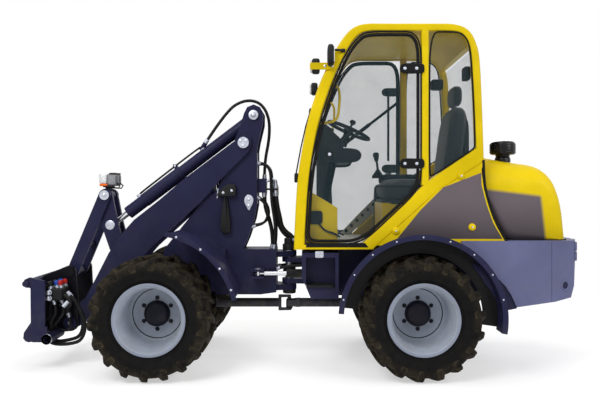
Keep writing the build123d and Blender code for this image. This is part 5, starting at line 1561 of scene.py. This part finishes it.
def chassis_shape():
    """Rear body details: fender bolts, black sheets of painted shade inside the wheel arches, arch gussets,
    step treads, tail eyes and tow point.
    """
    shape = Shape()
    knob = rounded_box((-7, -7, 588), (7, 7, 595), 3, 6, 12)
    spots = np.stack(np.meshgrid(np.linspace(-206, -58, 6), np.linspace(376, 460, 4), [0.0]), axis=-1)
    for sign in (1, -1):
        side = np.array([1, sign, 1])
        axis = (0, sign, 0)
        shape.bolts(in_side_view(REAR_BOLTS, 604 * sign), axis, 0.42)
        shape.grid(rounded_box((-226, 357, 577), (-38, 478, 590), 9) * side, around=True, finish=1)
        shape.copies((knob[None] + spots.reshape(-1, 1, 1, 3)) * side, around=True, finish=1)
        eye = (-1715, 475 * sign, 592)
        out = (-0.423, 0.906 * sign, 0)
        # painted shade: a darker navy disc inside the eye's ring
        shape.turn([(0, 0.5), (20, 0.5), (24, 2)], eye, out, 32, 2)
        shape.turn(TAIL_EYE, eye, out, 32, 3)
        # painted shade: black sheet filling the wheel arch behind the fender lip
        shape.grid(rounded_plate(ARCH_SHADE_SHEET, 481.5, 485, 1) * side, around=True, ends=True, finish=1)
        shape.grid(rounded_plate(ARCH_GUSSET, 486, 500, 3) * side, around=True, ends=True, finish=2)
        shape.grid(rounded_box((-152, 452, 768), (-96, 464, 812), 7) * side, around=True)
        shape.bolts([(x, 463 * sign, 800) for x in (-140, -108)], axis, 0.7)
    for y in (-46, 30):
        shape.plate(TOW_CHEEK, y, y + 16, 3, 2)
    shape.turn(TOW_PIN, (-1816, 0, 596), LEFT, 24)
    return shape


class LOADER_OT_chassis(bpy.types.Operator):
    """Build the fender bolts, black sheets of painted shade in the rear wheel arches, step treads and the
    tail's eyes and tow point
    """

    bl_idname = "loader.chassis"
    bl_label = "Chassis details"

    def execute(self, context):
        chassis_shape().build(
            "chassis_details", "rear_body", "bright_steel",
            ["bright_steel", "black_plastic", "navy_paint", "grey_navy_paint"], 40,
        )
        front = Shape()
        for sign in (1, -1):
            front.bolts(in_side_view(FRONT_BOLTS, 605 * sign), (0, sign, 0), 0.55)
        front.build("front_fender_bolts", "front_body", "bright_steel", ["bright_steel"], 40)
        return {"FINISHED"}


# Node finishes

NODE_FINISH = {
    "side_panels": "panel_field",
    "counterweight": "tail_cast",
    "hitch": "hitch_paint_and_shade",
    "lever_pin": "navy_paint",
    "hitch_pin": "navy_paint",
}


class LOADER_OT_finishes(bpy.types.Operator):
    """Give every CAD node the finish of its slot"""

    bl_idname = "loader.finishes"
    bl_label = "Node finishes"

    def execute(self, context):
        PAINT.update(make_finishes())
        for row in frame["record"]["subparts"]:
            mesh = frame["nodes"][row["node"]].data
            mesh.materials.clear()
            mesh.materials.append(PAINT[NODE_FINISH.get(row["node"], row["material_slot"])])
        return {"FINISHED"}


# Stage

WORLD_LIGHT = 0.34
CAMERA_X = -0.05
CAMERA_LENS = 36.8
CAMERA_SHIFT = (-0.0133, -0.0233)
LIGHTS = [  # name, place, size, watts
    ("key light", (2.6, 4.2, 5.2), 3.2, 200),
    ("fill light", (-4.5, 3.6, 3.4), 3.5, 95),
    ("top light", (0.0, -0.5, 6.0), 4.5, 95),
    ("rear light", (-2.0, -5.5, 4.0), 3.5, 120),
]


def pale_world():
    """World: plain studio white to the camera and in reflections, softer as light."""
    world = bpy.data.worlds.new("studio")
    bpy.context.scene.world = world
    world.use_nodes = True
    tree = world.node_tree
    tree.nodes.clear()
    path = tree.nodes.new("ShaderNodeLightPath")
    seen = path.outputs["Is Camera Ray"]
    for name in ("Is Glossy Ray", "Is Transmission Ray"):
        either = tree.nodes.new("ShaderNodeMath")
        either.operation = "MAXIMUM"
        tree.links.new(seen, either.inputs[0])
        tree.links.new(path.outputs[name], either.inputs[1])
        seen = either.outputs[0]
    strength = tree.nodes.new("ShaderNodeMapRange")
    strength.inputs["To Min"].default_value = WORLD_LIGHT
    strength.inputs["To Max"].default_value = 1.0
    tree.links.new(seen, strength.inputs["Value"])
    light = tree.nodes.new("ShaderNodeBackground")
    tree.links.new(strength.outputs[0], light.inputs["Strength"])
    light.inputs["Color"].default_value = (1, 1, 1, 1)
    out = tree.nodes.new("ShaderNodeOutputWorld")
    tree.links.new(light.outputs[0], out.inputs["Surface"])


def floor_finish():
    """Pale floor that fades into the white world away from the loader and keeps its shadow."""
    finish = Finish("studio floor")
    shader = finish.shader
    shader.inputs["Base Color"].default_value = (0.8, 0.8, 0.8, 1)
    shader.inputs["Roughness"].default_value = 0.9
    shader.inputs["Specular IOR Level"].default_value = 0.0
    shader.inputs["Emission Color"].default_value = (1, 1, 1, 1)
    shader.inputs["Emission Strength"].default_value = 0.42
    length = finish.add("ShaderNodeVectorMath", {0: finish.place}, operation="LENGTH").outputs["Value"]
    finish.set(Alpha=finish.spread(length, 2.2, 4.2, 0.85, 0.0))
    return finish.material


class LOADER_OT_stage(bpy.types.Operator):
    """Set the studio floor, the soft lights and the camera at the picture's viewing angle"""

    bl_idname = "loader.stage"
    bl_label = "Stage"

    def execute(self, context):
        scene = context.scene
        scene.view_settings.view_transform = "Standard"
        pale_world()
        radius = np.linspace(0, 6000, 24)
        disc = Shape()
        disc.grid(turned(np.stack([radius, 0 * radius], axis=-1), (0, 0, -1.0), UP, 48), around=True)
        mesh = bpy.data.meshes.new("floor")
        mesh.from_pydata((np.concatenate(disc.points) * MM).tolist(), [], disc.faces)
        mesh.materials.append(floor_finish())
        floor = bpy.data.objects.new("floor", mesh)
        scene.collection.objects.link(floor)
        for name, place, size, watts in LIGHTS:
            lamp = bpy.data.lights.new(name, "AREA")
            lamp.energy = watts
            lamp.shape = "DISK"
            lamp.size = size
            light = bpy.data.objects.new(name, lamp)
            light.location = place
            aim = np.array([0, 0, 0.9]) - place
            lean = np.arctan2(np.hypot(aim[0], aim[1]), -aim[2])
            light.rotation_euler = (lean, 0, np.arctan2(aim[1], aim[0]) - np.pi / 2)
            scene.collection.objects.link(light)
        lens = bpy.data.cameras.new("camera")
        lens.sensor_width = 36
        lens.lens = CAMERA_LENS
        lens.shift_x, lens.shift_y = CAMERA_SHIFT
        camera = bpy.data.objects.new("camera", lens)
        camera.location = (CAMERA_X, sizes().camera_distance, sizes().camera_height)
        camera.rotation_euler = (np.pi / 2, 0, np.pi)
        scene.collection.objects.link(camera)
        scene.camera = camera
        return {"FINISHED"}


class LOADER_PT_panel(bpy.types.Panel):
    """Sidebar list of the loader's pieces"""

    bl_idname = "LOADER_PT_panel"
    bl_label = "Loader"
    bl_space_type = "VIEW_3D"
    bl_region_type = "UI"
    bl_category = "Loader"

    def draw(self, context):
        for operator in OPERATORS:
            self.layout.operator(operator.bl_idname)
        for name in LoaderColours.__annotations__:
            self.layout.prop(context.scene.loader_colours, name)
        for name in LoaderSizes.__annotations__:
            self.layout.prop(context.scene.loader_sizes, name)


OPERATORS = [
    LOADER_OT_stage,
    LOADER_OT_finishes,
    LOADER_OT_hoses,
    LOADER_OT_wheels,
    LOADER_OT_cab_frame,
    LOADER_OT_doors,
    LOADER_OT_hood,
    LOADER_OT_seat,
    LOADER_OT_controls,
    LOADER_OT_lamps,
    LOADER_OT_linkage,
    LOADER_OT_chassis,
]
GROUPS = [LoaderColours, LoaderSizes]


def register():
    """Register the settings, operators and panel."""
    for item in GROUPS + OPERATORS + [LOADER_PT_panel]:
        bpy.utils.register_class(item)
    bpy.types.Scene.loader_colours = bpy.props.PointerProperty(type=LoaderColours)
    bpy.types.Scene.loader_sizes = bpy.props.PointerProperty(type=LoaderSizes)


def unregister():
    """Take the settings, operators and panel away again."""
    del bpy.types.Scene.loader_sizes
    del bpy.types.Scene.loader_colours
    for item in reversed(GROUPS + OPERATORS + [LOADER_PT_panel]):
        bpy.utils.unregister_class(item)


def main():
    """Build everything in order."""
    register()
    for operator in OPERATORS:
        group, name = operator.bl_idname.split(".")
        getattr(getattr(bpy.ops, group), name)()


if __name__ == "__main__":
    main()
